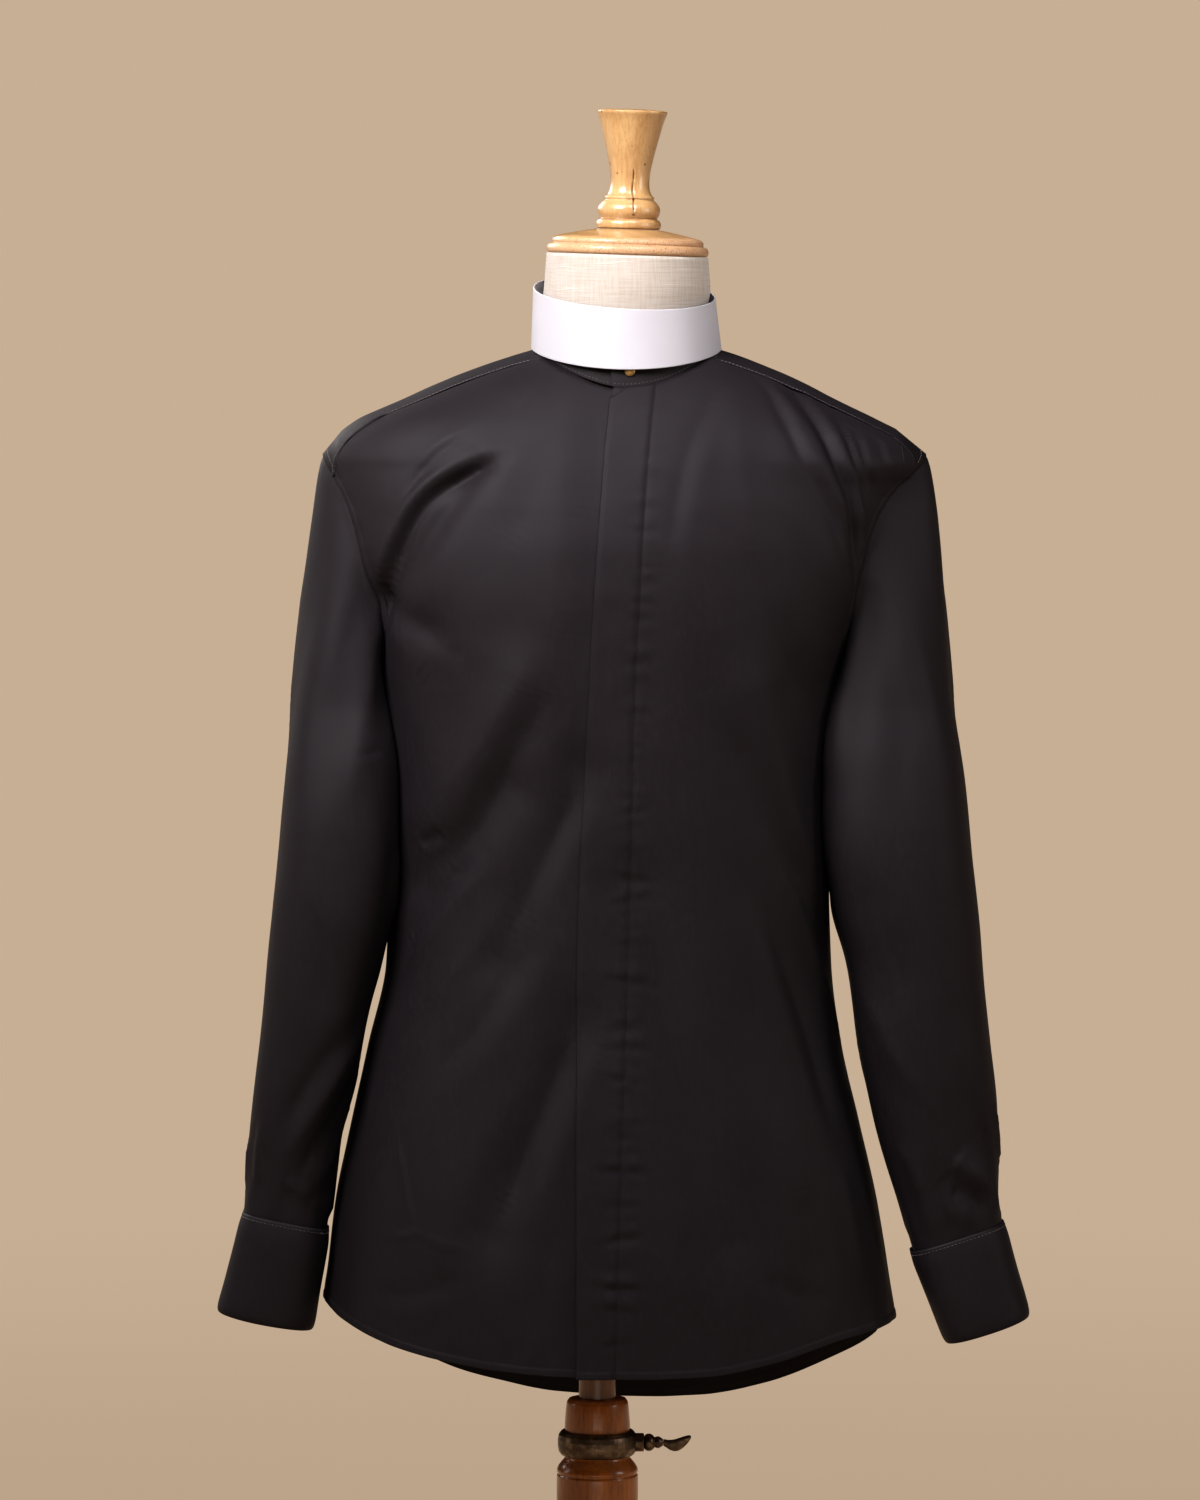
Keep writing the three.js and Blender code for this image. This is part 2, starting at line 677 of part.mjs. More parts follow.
function neckbandSolid() {
  const layer = (out) => steps(3).map((rise) => steps(36).map((turn) => bandPoint(turn, rise, out)));
  const bored = [frontStudPlace, backStudPlace].map((place) => placed(rod(1.6, 30), place));
  return cut(shell(layer(0), layer(-band.wall)), ...bored);
}

// The collar is one tall band, open behind, whose ends lap there.
function collarPoint(turn, level, out) {
  const lap = THREE.MathUtils.degToRad(10);
  const theta = lerp(-Math.PI - lap, Math.PI + lap, turn);
  const tuck = -(collar.wall + collar.lap) * (1 - smooth((turn - 0.06) / 0.12));
  const wide = lerp(71.5, 68.4, level) + tuck + out;
  const deep = (Math.cos(theta) > 0 ? lerp(77.6, 73, level) : lerp(71.6, 67.5, level)) + tuck + out;
  const low = 1401.6 - 14.5 * Math.cos(theta) * Math.abs(Math.cos(theta)) ** 0.3 - 0.5 * Math.sin(theta);
  const high = 1443 - 12 * Math.cos(theta) - 4 * Math.sin(theta);
  const x = lerp(21.5, 20, level) + wide * Math.sin(theta);
  return new THREE.Vector3(x, -deep * Math.cos(theta), lerp(low, high, level));
}

function collarSolid() {
  const layer = (out) => steps(3).map((level) => steps(44).map((turn) => collarPoint(turn, level, out)));
  return cut(shell(layer(0), layer(-collar.wall)), placed(rod(1.6, 30), backStudPlace));
}

const frontStudPlace = { at: [24, -73.9, 1385.5], turn: [Math.PI / 2, 0, 0] };
const backStudPlace = { at: [21.5, 71.8, 1421], turn: [-Math.PI / 2, 0, 0] };

// A round bar along z about its own middle.
function rod(radius, length, sides = 12) {
  return new THREE.CylinderGeometry(radius, radius, length, sides).rotateX(Math.PI / 2);
}

function placed(geometry, place) {
  const turned = new THREE.Euler(...place.turn);
  const matrix = new THREE.Matrix4().makeRotationFromEuler(turned).setPosition(...place.at);
  return geometry.applyMatrix4(matrix);
}

// A turned piece about z. The profile's rows are radius and height, from the axis round to it.
function turned(profile, sides) {
  const points = profile.map(([radius, height]) => new THREE.Vector2(radius, height));
  return facingOut(weld(new THREE.LatheGeometry(points, sides).rotateX(Math.PI / 2)));
}

function weld(geometry) {
  geometry.deleteAttribute("normal");
  geometry.deleteAttribute("uv");
  return mergeVertices(geometry, 1e-4);
}

// A stud: a domed head outside, a thin shank, and a round plate inside.
function studSolid(head, shank) {
  const plate = -shank - 0.7;
  return turned([
    [0, plate], [4, plate], [4, -shank], [1.2, -shank], [1.2, 0],
    [head, 0], [head * 0.92, 0.9], [head * 0.5, 1.5], [0, 1.7],
  ], 16);
}

// ---- dress form ----

function formSolid() {
  const tilt = (place) => {
    place.z -= Math.tan(capLean) * (place.x - capPlace.x) * smooth((place.z - 1425) / 46);
    return place;
  };
  const ringsOf = (rows, sides) => rows.map(({ z }) => steps(sides).slice(1).map((t) => {
    return tilt(sectionPoint(sectionAt(rows, z), t * 2 * Math.PI, z));
  }));
  const socket = rod(poleRadius + 2 * gap, 2 * (poleTop + gap - formBottom), 24).translate(0, 0, formBottom);
  return cut(join(stack(ringsOf(torso, 28)), stack(ringsOf(neckSections, 24))), socket);
}

const capPlace = new THREE.Vector3(22.5, -2.5, neckTop + gap);

function capSolid() {
  return turned([
    [0, 0], [59, 0], [60.4, 2], [60.4, 5], [58.6, 7.4], [56, 8], [56.6, 10], [55, 12.4],
    [46, 14.6], [33, 17.6], [24, 19], [0, 19],
  ], 32);
}

function finialSolid() {
  return turned([
    [0, 0], [23.4, 0], [24, 2], [24, 5], [22.6, 7], [21.4, 8.2], [22.6, 11.5], [22.9, 15], [21.4, 18.4],
    [18.2, 20.4], [17.5, 22], [15.4, 24.4], [14.4, 30], [14.5, 36], [15.7, 46.7], [17.7, 55.7], [19.9, 64.7],
    [22.2, 73.7], [24.1, 80.7], [25.9, 85.5], [26.2, 87.7], [25, 88.6], [12, 89.2], [0, 89.3],
  ], 24);
}

// ---- stand ----

const boreBottom = 170; // foot of the column's bore
const tenon = { radius: 17, length: 26 };

function columnSolid() {
  const outline = [
    [0, footHeight - tenon.length],
    [tenon.radius, footHeight - tenon.length],
    [tenon.radius, footHeight + gap],
    [37, footHeight + gap],
    [38.5, 52], [38.5, 58], [36, 62], [31.5, 65], [33.5, 74], [31.5, 82], [30.8, 90],
    [30.8, 552], [30.2, 556.4], [24.8, 563.4], [24.2, 566], [24.2, 584], [24.6, 587],
    [23.2, 603], [22, 607.6], [20.4, cupTop],
    [0, cupTop],
  ];
  const boreTop = cupTop + 10;
  const bore = rod(poleRadius + gap, boreTop - boreBottom, 24).translate(0, 0, (boreTop + boreBottom) / 2);
  return cut(turned(outline, 32), bore, placed(rod(3.4, 30), { at: [25, 0, clampHeight], turn: alongX }));
}

const alongX = [0, Math.PI / 2, 0];

function clampRing() {
  const inside = 24.2 + 1.3 * gap;
  const rows = [
    [inside, -9.4], [26.8, -9.4], [28.9, -6.6], [29.8, -2.6],
    [29.8, 2.6], [28.9, 6.6], [26.8, 9.4], [inside, 9.4],
  ];
  const ring = turned([...rows, rows[0]], 32).translate(0, 0, clampHeight);
  const boss = placed(rod(7, 8.5, 16), { at: [31, 0, clampHeight], turn: alongX });
  return cut(join(ring, boss), placed(rod(3.4, 30), { at: [30, 0, clampHeight], turn: alongX }));
}

// The thumb screw: a shank through the ring and the column, two beads, and a spoon to turn it by.
function clampScrew() {
  const shank = placed(turned([
    [0, poleRadius + gap], [3, poleRadius + gap], [3, 35.6], [5.4, 36.2], [6.7, 38.6], [6.7, 40.2], [5, 42.6],
    [3.6, 43.4], [4.6, 45], [4.2, 47.4], [2.6, 49.4], [0, 49.8],
  ], 16), { at: [0, 0, clampHeight], turn: alongX });
  const spoon = table(["x", "z", "wide", "thick"], [
    [46, 0, 2.6, 2.4],
    [50, -1.4, 3.1, 2],
    [55, -2.2, 4, 1.7],
    [61, -1.4, 4.9, 1.6],
    [66, 1, 4.6, 1.6],
    [70.6, 4, 2.3, 1.4],
  ]);
  const rings = spoon.map((row) => steps(10).slice(1).map((t) => new THREE.Vector3(
    row.x,
    row.thick * Math.cos(t * 2 * Math.PI),
    clampHeight + row.z + row.wide * Math.sin(t * 2 * Math.PI),
  )));
  return join(shank, stack(rings));
}

function footSolid() {
  const socket = tenon.radius + gap;
  const socketFloor = footHeight - tenon.length - gap;
  return turned([
    [0, 0],
    [footRadius - 4, 0], [footRadius, 4], [footRadius, 14], [footRadius - 6, 20], [footRadius - 14, 21.6],
    [150, 25], [100, 31], [62, 39], [52, footHeight - 3],
    [46, footHeight],
    [socket, footHeight],
    [socket, socketFloor],
    [0, socketFloor],
  ], 36);
}

// ---- the whole object ----

const shirting = { color: 0x241f21, roughness: 0.78, metalness: 0 };
const finishes = {
  white: { color: 0xe9e6ef, roughness: 0.55, metalness: 0 },
  brass: { color: 0xb08a3c, roughness: 0.35, metalness: 1 },
  linen: { color: 0xe0cdb8, roughness: 0.9, metalness: 0 },
  honeyWood: { color: 0xc98f45, roughness: 0.4, metalness: 0 },
  darkWood: { color: 0x6b3c1c, roughness: 0.35, metalness: 0 },
  bronze: { color: 0x33271d, roughness: 0.45, metalness: 1 },
};

function add(group, name, geometry, finish) {
  const mesh = new THREE.Mesh(geometry, new THREE.MeshStandardMaterial(finish));
  mesh.name = name;
  group.add(mesh);
  return mesh;
}

// The right front dips under the fly, which lies on the left front.
function dipUnderFly(phi, z) {
  const x = sectionPoint(sectionAt(body, z), phi, z).x;
  return 3.2 * smooth((x - columnAt(fly, z, "edge") + 34) / 30);
}

function addShirt(group) {
  const right = frontColumns(-1, underlap);
  const left = frontColumns(1, 0);
  add(group, "front_right", shell(layer(right, 0, dipUnderFly), layer(right, -cloth, dipUnderFly)), shirting);
  add(group, "front_left", shell(layer(left, 0), layer(left, -cloth)), shirting);
  add(group, "placket", placketSolid(), shirting);
  add(group, "back", backPanel(), shirting);
  add(group, "yoke", shell(yokeGrid(0), yokeGrid(-cloth)), shirting);
  add(group, "sleeve_right", sleeveSolid(-1, sleeves.right, cuffs.right), shirting);
  add(group, "sleeve_left", sleeveSolid(1, sleeves.left, cuffs.left), shirting);
  add(group, "cuff_right", cuffSolid(-1, cuffs.right), shirting);
  add(group, "cuff_left", cuffSolid(1, cuffs.left), shirting);
  add(group, "neckband", neckbandSolid(), shirting);
  add(group, "collar", collarSolid(), finishes.white);
  add(group, "collar_stud_front", placed(studSolid(4, 6.1), frontStudPlace), finishes.brass);
  add(group, "collar_stud_back", placed(studSolid(4.2, 9.9), backStudPlace), finishes.brass);
}

function addForm(group) {
  add(group, "form_body", formSolid(), finishes.linen);
  const top = new THREE.Group();
  top.position.copy(capPlace);
  top.rotation.y = capLean;
  group.add(top);
  add(top, "neck_cap", capSolid(), finishes.honeyWood);
  add(top, "finial", finialSolid(), finishes.honeyWood).position.z = 19 + gap;
}

function addStand(group) {
  const poleFoot = boreBottom + 90;
  const pole = rod(poleRadius, poleTop - poleFoot, 24).translate(0, 0, (poleTop + poleFoot) / 2);
  add(group, "pole", pole, finishes.darkWood);
  add(group, "column", columnSolid(), finishes.darkWood);
  add(group, "clamp_ring", clampRing(), finishes.bronze);
  add(group, "clamp_screw", clampScrew(), finishes.bronze);
  add(group, "foot", footSolid(), finishes.darkWood);
}

const model = new THREE.Group();
addShirt(model);
addForm(model);
addStand(model);
export default model;
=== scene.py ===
import math
import bpy
import numpy as np
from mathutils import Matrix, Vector, noise


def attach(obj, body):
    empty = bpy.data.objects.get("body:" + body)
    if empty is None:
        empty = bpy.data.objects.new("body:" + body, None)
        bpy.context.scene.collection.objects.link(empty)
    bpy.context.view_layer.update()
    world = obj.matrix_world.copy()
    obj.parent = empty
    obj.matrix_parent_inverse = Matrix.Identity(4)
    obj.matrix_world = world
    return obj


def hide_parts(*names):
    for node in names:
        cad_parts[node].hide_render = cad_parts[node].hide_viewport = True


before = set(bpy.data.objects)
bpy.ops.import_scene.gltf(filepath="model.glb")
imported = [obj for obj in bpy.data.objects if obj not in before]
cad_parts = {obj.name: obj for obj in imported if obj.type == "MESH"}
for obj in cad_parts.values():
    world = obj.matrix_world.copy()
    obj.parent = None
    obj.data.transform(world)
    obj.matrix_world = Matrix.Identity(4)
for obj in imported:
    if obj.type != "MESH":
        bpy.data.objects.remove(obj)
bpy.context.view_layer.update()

mm = 0.001  # the tables below are in millimetres, and the meshes in metres
print("frame loaded")

# Sections of the shirt's body from above: height, right side, left side, front, back.
bodyRows = [
    (585, -215, 235, 126, 129),
    (642, -210, 229, 126.5, 127),
    (682, -206, 222, 126, 125),
    (729, -200, 215, 125, 121),
    (760, -196, 210, 124, 119),
    (820, -184, 196, 122, 113),
    (881, -171, 182, 120, 108),
    (941, -158, 175, 118.5, 104),
    (1000, -156, 173, 119, 102),
    (1062, -157, 173, 121, 104),
    (1110, -160, 176, 123, 107),
    (1150, -164, 181, 125, 110),
    (1190, -171, 194, 127, 114),
    (1215, -180, 203, 127.5, 116),
    (1250, -194, 216, 125.5, 117),
    (1283, -201, 226, 119.6, 116.7),
    (1300, -204, 234, 114.6, 115.5),
    (1318, -206, 247, 108.5, 114),
    (1325, -203.5, 243.5, 105.5, 112.7),
    (1334, -197, 234.5, 101.3, 111.2),
    (1347, -181, 211, 94.3, 107.8),
    (1362, -148, 180, 84.3, 102),
    (1376, -117, 152, 72.7, 94.1),
    (1390, -80, 119.5, 57.4, 81.8),
    (1398, -55, 98, 44.5, 70.5),
    (1405, -28, 70, 31, 53),
    (1411, 21.4, 21.6, 0.1, 0.1),
]
# Height of the hem: x, the height in front, the height of the tail behind.
hemRows = [
    (-207, 687, 687),
    (-190, 677, 667),
    (-150, 662, 638),
    (-106, 652.5, 614),
    (-75, 648, 604),
    (-29, 644, 594),
    (33, 642, 590),
    (79, 643.5, 592),
    (126, 651, 603),
    (179, 665, 628),
    (210, 670, 650),
    (223, 672, 672),
]
# The fly: height, x of the folded edge, x of the stitches.
flyRows = [
    (642, -15, 14),
    (776, -15, 18),
    (924, -15, 23),
    (1035, -11.5, 26),
    (1145, -6, 28.5),
    (1218, -2, 32),
    (1277, 2, 35),
    (1328, 6, 39),
    (1376, 11, 44),
]
shirt = {
    "underarm": 1150,
    "seamTop": 1306,  # the front yoke seam meets the armhole
    "backSeam": 1300,
    "armholeMiddle": 1236,
    "armholeHalf": 86,
    "armholeFront": 55,
    "armholeBack": 60,
    "neckX": 21.5,
    "neckHalf": 69.8,
    "neckFront": 75,
    "neckBack": 68,
    "neckPoint": math.radians(60.4),
    "domeTop": 1411,
    "cloth": 0.9,
    "stitched": 5.6,  # from an armhole or the hem to its stitches
    "sideStitched": 6.2,
    "frontMesh": (88, 188, 98),  # columns, rows below the underarm, rows above it
    "backMesh": (112, 160, 48),
}
bodyArray, hemArray, flyArray = (np.array(rows, float) for rows in (bodyRows, hemRows, flyRows))
halvings = 34  # steps that close in on a height


def smooth(t):
    t = np.clip(t, 0, 1)
    return t * t * (3 - 2 * t)


def mix(a, b, t):
    return a + (b - a) * t


def unit(vectors):
    return vectors / np.maximum(np.linalg.norm(vectors, axis=-1, keepdims=True), 1e-9)


# Lengths from the first point of a line, or along one axis of a grid.
def reachOf(spots, axis=0):
    steps = np.linalg.norm(np.diff(spots, axis=axis), axis=-1)
    return np.insert(np.cumsum(steps, axis=axis), 0, 0, axis=axis)


# The place at one length of a line.
def pointAt(at, reach, line):
    return np.stack([np.interp(at, reach, column) for column in line.T], -1)


# Evens out a line, or the rows of a grid, and leaves the first and the last as they are.
def soften(points, times):
    for _ in range(times):
        points[1:-1] = (points[:-2] + 2 * points[1:-1] + points[2:]) / 4
    return points


def noiseAt(places):
    flat = [noise.noise(Vector(place)) for place in places.reshape(-1, 3).tolist()]
    return np.array(flat).reshape(places.shape[:-1])


def noiseOver(*runs):
    return noiseAt(np.stack(np.broadcast_arrays(*runs), -1))


# A curve through one column of a table, which never overshoots the rows.
def along(table, place, column):
    spots, values = table[:, 0], table[:, column]
    slopes = np.diff(values) / np.diff(spots)
    product = slopes[:-1] * slopes[1:]
    total = np.where(product > 0, slopes[:-1] + slopes[1:], 1)
    inner = np.where(product > 0, 2 * product / total, 0)
    tangents = np.concatenate([slopes[:1], inner, slopes[-1:]])
    x = np.clip(place, spots[0], spots[-1])
    i = np.clip(np.searchsorted(spots, x, side="right") - 1, 0, len(spots) - 2)
    span = spots[i + 1] - spots[i]
    t = (x - spots[i]) / span
    start = values[i] * (1 + 2 * t) * (1 - t) ** 2 + tangents[i] * span * t * (1 - t) ** 2
    end = values[i + 1] * t * t * (3 - 2 * t) + tangents[i + 1] * span * t * t * (t - 1)
    return start + end


def middleAt(z):
    return mix(9, shirt["neckX"], smooth((z - 700) / 620))


def squareness(z):
    return mix(2.3, 2, smooth((z - shirt["underarm"]) / 150))


def sectionAt(z, rows=bodyArray):
    middle = middleAt(z)
    right = middle - along(rows, z, 1)
    left = along(rows, z, 2) - middle
    return middle, right, left, along(rows, z, 3), along(rows, z, 4), squareness(z)


def ovalRadius(phi, right, left, front, back, power):
    sine, cosine = np.sin(phi), np.cos(phi)
    across = np.abs(sine / np.where(sine < 0, right, left)) ** power
    ahead = np.abs(cosine / np.where(cosine > 0, front, back)) ** power
    return (across + ahead) ** (-1 / power)


# How much of an oval's half depth is left at a share of its half width, or the other way round.
def ovalRest(share, power):
    return (1 - np.minimum(np.abs(share), 1) ** power) ** (1 / power)


# A point of the body at angle phi, 0 in front and 90 degrees at the wearer's left, and height z.
def skinPoint(phi, z):
    middle, *sides = sectionAt(z)
    radius = ovalRadius(phi, *sides)
    return np.stack([middle + radius * np.sin(phi), -radius * np.cos(phi), z + 0 * radius], -1)


def skinNormal(phi, z):
    step, lift = 0.004, 0.6
    around = skinPoint(phi + step, z) - skinPoint(phi - step, z)
    up = skinPoint(phi, z + lift) - skinPoint(phi, z - lift)
    return unit(np.cross(around, up))


def skin(phi, z):
    return skinPoint(phi, z), skinNormal(phi, z)


def sideX(y, z, side):
    middle, right, left, front, back, power = sectionAt(z)
    reach = right if side < 0 else left
    return middle + side * reach * ovalRest(y / np.where(y < 0, front, back), power)


def angleTo(x, y, z):
    return np.arctan2(x - middleAt(z), -y)


# The angle of the place at x on the front (-1) or the back (1).
def angleAtX(x, z, facing=-1):
    middle, right, left, front, back, power = sectionAt(z)
    rest = ovalRest((x - middle) / np.where(x < middle, right, left), power)
    return angleTo(x, facing * (front if facing < 0 else back) * rest, z)


# Height of the shoulders over a place seen from above.
def heightOver(x, y):
    low = np.full(np.broadcast(x, y).shape, shirt["backSeam"] - 10.0)
    high = np.full(low.shape, float(shirt["domeTop"]))
    for _ in range(halvings):
        half = (low + high) / 2
        middle, right, left, front, back, power = sectionAt(half)
        across = np.abs(x - middle) / np.where(x < middle, right, left)
        ahead = np.abs(y) / np.where(y < 0, front, back)
        below = across ** power + ahead ** power < 1
        low, high = np.where(below, half, low), np.where(below, high, half)
    return (low + high) / 2


def armholeY(z, depth):
    share = (z - shirt["armholeMiddle"]) / shirt["armholeHalf"]
    return depth * np.sqrt(np.maximum(0, 1 - share * share))


def armholePoint(side, psi, inside):
    depth = np.where(np.sin(psi) > 0, shirt["armholeFront"], shirt["armholeBack"]) - inside
    z = shirt["armholeMiddle"] + (shirt["armholeHalf"] - inside) * np.cos(psi)
    y = -depth * np.sin(psi)
    return angleTo(sideX(y, z, side), y, z), z


def yokeSeamY(z):
    return -mix(32.3, 37.1, (z - shirt["seamTop"]) / 88)


def neckline(theta, grow=0):
    deep = np.where(np.cos(theta) > 0, shirt["neckFront"], shirt["neckBack"]) + grow
    return shirt["neckX"] + (shirt["neckHalf"] + grow) * np.sin(theta), -deep * np.cos(theta)


def outsideNeck(x, y):
    deep = np.where(y < 0, shirt["neckFront"], shirt["neckBack"])
    return ((x - shirt["neckX"]) / shirt["neckHalf"]) ** 2 + (y / deep) ** 2 > 1


# Broad folds that the solids have too: side, x and z of both ends, width, depth.
broadFolds = [
    (-1, -92, 1316, -158, 1216, 13, -7),
    (-1, -150, 1205, -126, 1196, 14, -3),
    (-1, -60, 1160, -122, 1058, 22, 3),
    (-1, -66, 1075, -128, 1005, 20, -4),
    (-1, -14, 1090, -74, 955, 22, -4),
    (-1, -18, 900, -75, 752, 28, -4),
    (-1, 112, 1385, 190, 1280, 12, 3),
    (-1, 115, 1150, 168, 1000, 20, 3),
    (-1, 30, 1005, 100, 745, 26, -4),
    (1, -120, 1240, -70, 1060, 24, -4),
    (1, 150, 1230, 96, 1070, 22, -4),
    (1, -60, 1020, -100, 760, 28, 5),
    (1, 20, 1030, 12, 720, 26, -4),
    (1, 90, 1000, 140, 740, 28, 5),
]


def broadDepth(spots):
    depth = np.zeros(spots.shape[:-1])
    for side, x1, z1, x2, z2, wide, deep in broadFolds:
        run = np.array([x2 - x1, z2 - z1], float)
        start = spots[..., [0, 2]] - (x1, z1)
        t = np.clip(start @ run / (run @ run), 0, 1)
        away = np.linalg.norm(start - t[..., None] * run, axis=-1) / wide
        depth += deep * smooth((spots[..., 1] * side - 20) / 40) * np.exp(-away * away)
    return depth * (1 - smooth((spots[..., 2] - 1300) / 60))


# A smooth line through a few places, as closely spaced points.
def softLine(places, spacing=6.0):
    places = np.array(places, float)
    reach = reachOf(places)
    count = max(int(reach[-1] / spacing), 3)
    return soften(pointAt(np.linspace(0, reach[-1], count), reach, places), int(24 / spacing) + 1)


crease = {
    "reach": 3.2,  # widths beside its line that it can move
    "taper": 0.3,  # share of its line at each end where it grows
    "least": 0.12,  # share of its depth at its very ends
    "sharp": 1.6,
    "rollAt": 1.6,  # widths from the line to its roll
    "rollWide": 0.9,
    "rollSharp": 1.8,
    "step": 6.5,  # farthest from the closest point of the line, along it
}


# How far a set of creases moves the cloth. A crease has a line of points, a width, a depth
# (minus is a trough) and a roll: how much of it stands up again on the line's left (minus: right).
def creaseDepth(spots, normals, creases):
    flat, facing = spots.reshape(-1, 3), normals.reshape(-1, 3)
    total = np.zeros(len(flat))
    for line, wide, deep, roll in creases:
        low, high = line.min(0) - crease["reach"] * wide, line.max(0) + crease["reach"] * wide
        near = np.flatnonzero(((flat > low) & (flat < high)).all(1))
        if not len(near):
            continue
        here, turned = flat[near], facing[near]
        tangent = unit(np.gradient(line, axis=0))
        gaps = np.linalg.norm(here[:, None] - line[None], axis=2)
        closest, gap = gaps.argmin(1), gaps.min(1)
        offset = here - line[closest]
        step = (offset * tangent[closest]).sum(1)
        away = np.sqrt(np.maximum((offset ** 2).sum(1) - step ** 2, 0)) / wide
        away = np.where(np.abs(step) > crease["step"], gap / wide, away)
        place = closest / (len(line) - 1)
        taper = smooth(place / crease["taper"]) * smooth((1 - place) / crease["taper"])
        ends = np.where((closest == 0) | (closest == len(line) - 1), np.exp(-(step / wide) ** 2), 1)
        shape = np.exp(-away ** crease["sharp"])
        if roll:
            sideways = (offset * np.cross(turned, tangent[closest])).sum(1) / wide * np.sign(roll)
            beside = np.abs(sideways - crease["rollAt"]) / crease["rollWide"]
            shape = shape - abs(roll) * np.exp(-beside ** crease["rollSharp"])
        sameSide = (turned * turned[gap.argmin()]).sum(1)  # a fold in front leaves the back alone
        depth = deep * mix(crease["least"], 1, taper) * ends * shape * (gap < 4 * wide)
        total[near] += depth * smooth((sameSide + 0.35) / 0.6)
    return total.reshape(spots.shape[:-1])


# Creases of the fronts: places as x and z, width, depth, roll.
frontCreases = [
    ([(-66, 1323), (-88, 1316), (-112, 1303), (-130, 1288), (-143, 1266), (-154, 1238), (-160, 1220)],
     5.5, -5.9, -0.75),
    ([(-88, 1342), (-116, 1328), (-134, 1308), (-146, 1284)], 4, -1.3, -0.6),
    ([(-163, 1236), (-160, 1210), (-161, 1180), (-160, 1150)], 6, -4.5, -0.3),
    ([(-162, 1208), (-150, 1207), (-134, 1200), (-114, 1186), (-92, 1168)], 8, -0.7, -0.5),
    ([(-158, 1196), (-140, 1182), (-122, 1158)], 12, 1.0, 0),
    ([(-48, 1176), (-84, 1112), (-118, 1062), (-132, 1030)], 15, 2.2, 0),
    ([(-29, 1164), (-67, 1090), (-94, 1040), (-127, 1010)], 12, -3.0, -0.4),
    ([(-8, 1090), (-29, 1050), (-51, 1003), (-70, 956)], 11, -2.6, 0.35),
    ([(-88, 1032), (-114, 1004), (-136, 972), (-147, 945)], 8, -2.4, 0.5),
    ([(-112, 1046), (-122, 1038), (-133, 1035)], 5, -1.8, 0.3),
    ([(-60, 1010), (-84, 966), (-118, 926), (-142, 900)], 13, 1.9, 0),
    ([(-36, 1000), (-58, 948), (-92, 896), (-128, 858)], 12, -2.2, 0.3),
    ([(-15, 916), (-34, 858), (-58, 798), (-78, 748)], 14, -4.4, 0.45),
    ([(-52, 868), (-84, 812), (-106, 752), (-118, 700)], 16, 1.6, 0),
    ([(-149, 822), (-143, 785), (-135, 746)], 2.4, 0.9, 0.5),
    ([(-153, 742), (-140, 745), (-128, 750)], 2.4, 0.8, 0.4),
    ([(-133, 748), (-118, 740), (-92, 736)], 3.4, 0.5, 0),
    ([(-30, 760), (-44, 710), (-48, 668)], 11, -1.2, 0.3),
    ([(-96, 720), (-128, 702), (-168, 700)], 8, -0.9, 0.3),
    ([(-10, 1300), (-16, 1230), (-26, 1180)], 18, 1.2, 0),
    ([(-52, 1374), (-66, 1340), (-88, 1310)], 10, -1.0, 0.3),
    ([(-30, 1350), (-44, 1300), (-72, 1250)], 16, -0.9, 0),
    ([(60, 1316), (110, 1314), (150, 1313), (190, 1312), (216, 1311)], 15, -1.2, 0),
    ([(-56, 1316), (-110, 1315), (-160, 1314), (-198, 1313)], 14, -1.5, 0),
    ([(138, 1379), (150, 1366), (163, 1348), (173, 1325), (185, 1294), (190, 1262), (191, 1226)],
     5, -4.8, 0.65),
    ([(118, 1382), (138, 1364), (157, 1340), (172, 1310), (183, 1280), (188, 1250)], 6, 1.5, 0),
    ([(110, 1386), (126, 1374), (138, 1350), (149, 1324), (163, 1300), (176, 1272), (183, 1240)],
     5, -2.4, 0.5),
    ([(100, 1386), (86, 1364), (72, 1341), (63, 1316), (57, 1280), (52, 1240)], 8, -1.4, 0.3),
    ([(104, 1384), (104, 1350), (106, 1316), (114, 1270), (124, 1226)], 11, 1.0, 0),
    ([(156, 1370), (168, 1352), (177, 1332), (184, 1308), (188, 1284)], 3.5, -1.9, 0.55),
    ([(171, 1362), (181, 1344), (189, 1322), (195, 1298), (197, 1276)], 3.2, -1.8, 0.55),
    ([(186, 1352), (194, 1334), (200, 1312), (204, 1290)], 3, -1.5, 0.55),
    ([(206, 1338), (213, 1322), (216, 1306)], 3.5, -1.0, 0.5),
    ([(126, 1300), (160, 1262), (188, 1216), (196, 1180)], 14, 1.8, 0),
    ([(108, 1280), (122, 1210), (150, 1150), (176, 1110)], 14, -2.0, 0.3),
    ([(100, 1200), (128, 1110), (152, 1030), (166, 985)], 13, 2.0, 0),
    ([(84, 1150), (112, 1080), (140, 1020), (162, 972)], 12, -2.4, 0.3),
    ([(126, 1040), (150, 985), (172, 920), (186, 860)], 7, 2.0, 0),
    ([(116, 1010), (138, 950), (160, 880), (178, 810)], 9, -2.8, -0.4),
    ([(29, 1010), (46, 930), (66, 852), (84, 790), (100, 744)], 13, -3.0, 0.4),
    ([(104, 956), (118, 905), (128, 860), (140, 800)], 10, -1.8, 0.3),
    ([(62, 1002), (82, 920), (102, 842), (124, 760)], 14, 1.8, 0),
    ([(50, 790), (66, 730), (76, 676)], 12, 1.4, 0),
    ([(150, 790), (160, 740), (166, 690)], 12, -1.5, 0.3),
    ([(178, 800), (190, 750), (200, 700)], 9, 1.4, 0),
    ([(44, 1260), (40, 1180), (36, 1100)], 14, -0.9, 0.3),
    ([(120, 720), (144, 702), (176, 694)], 8, -0.9, 0.3),
]
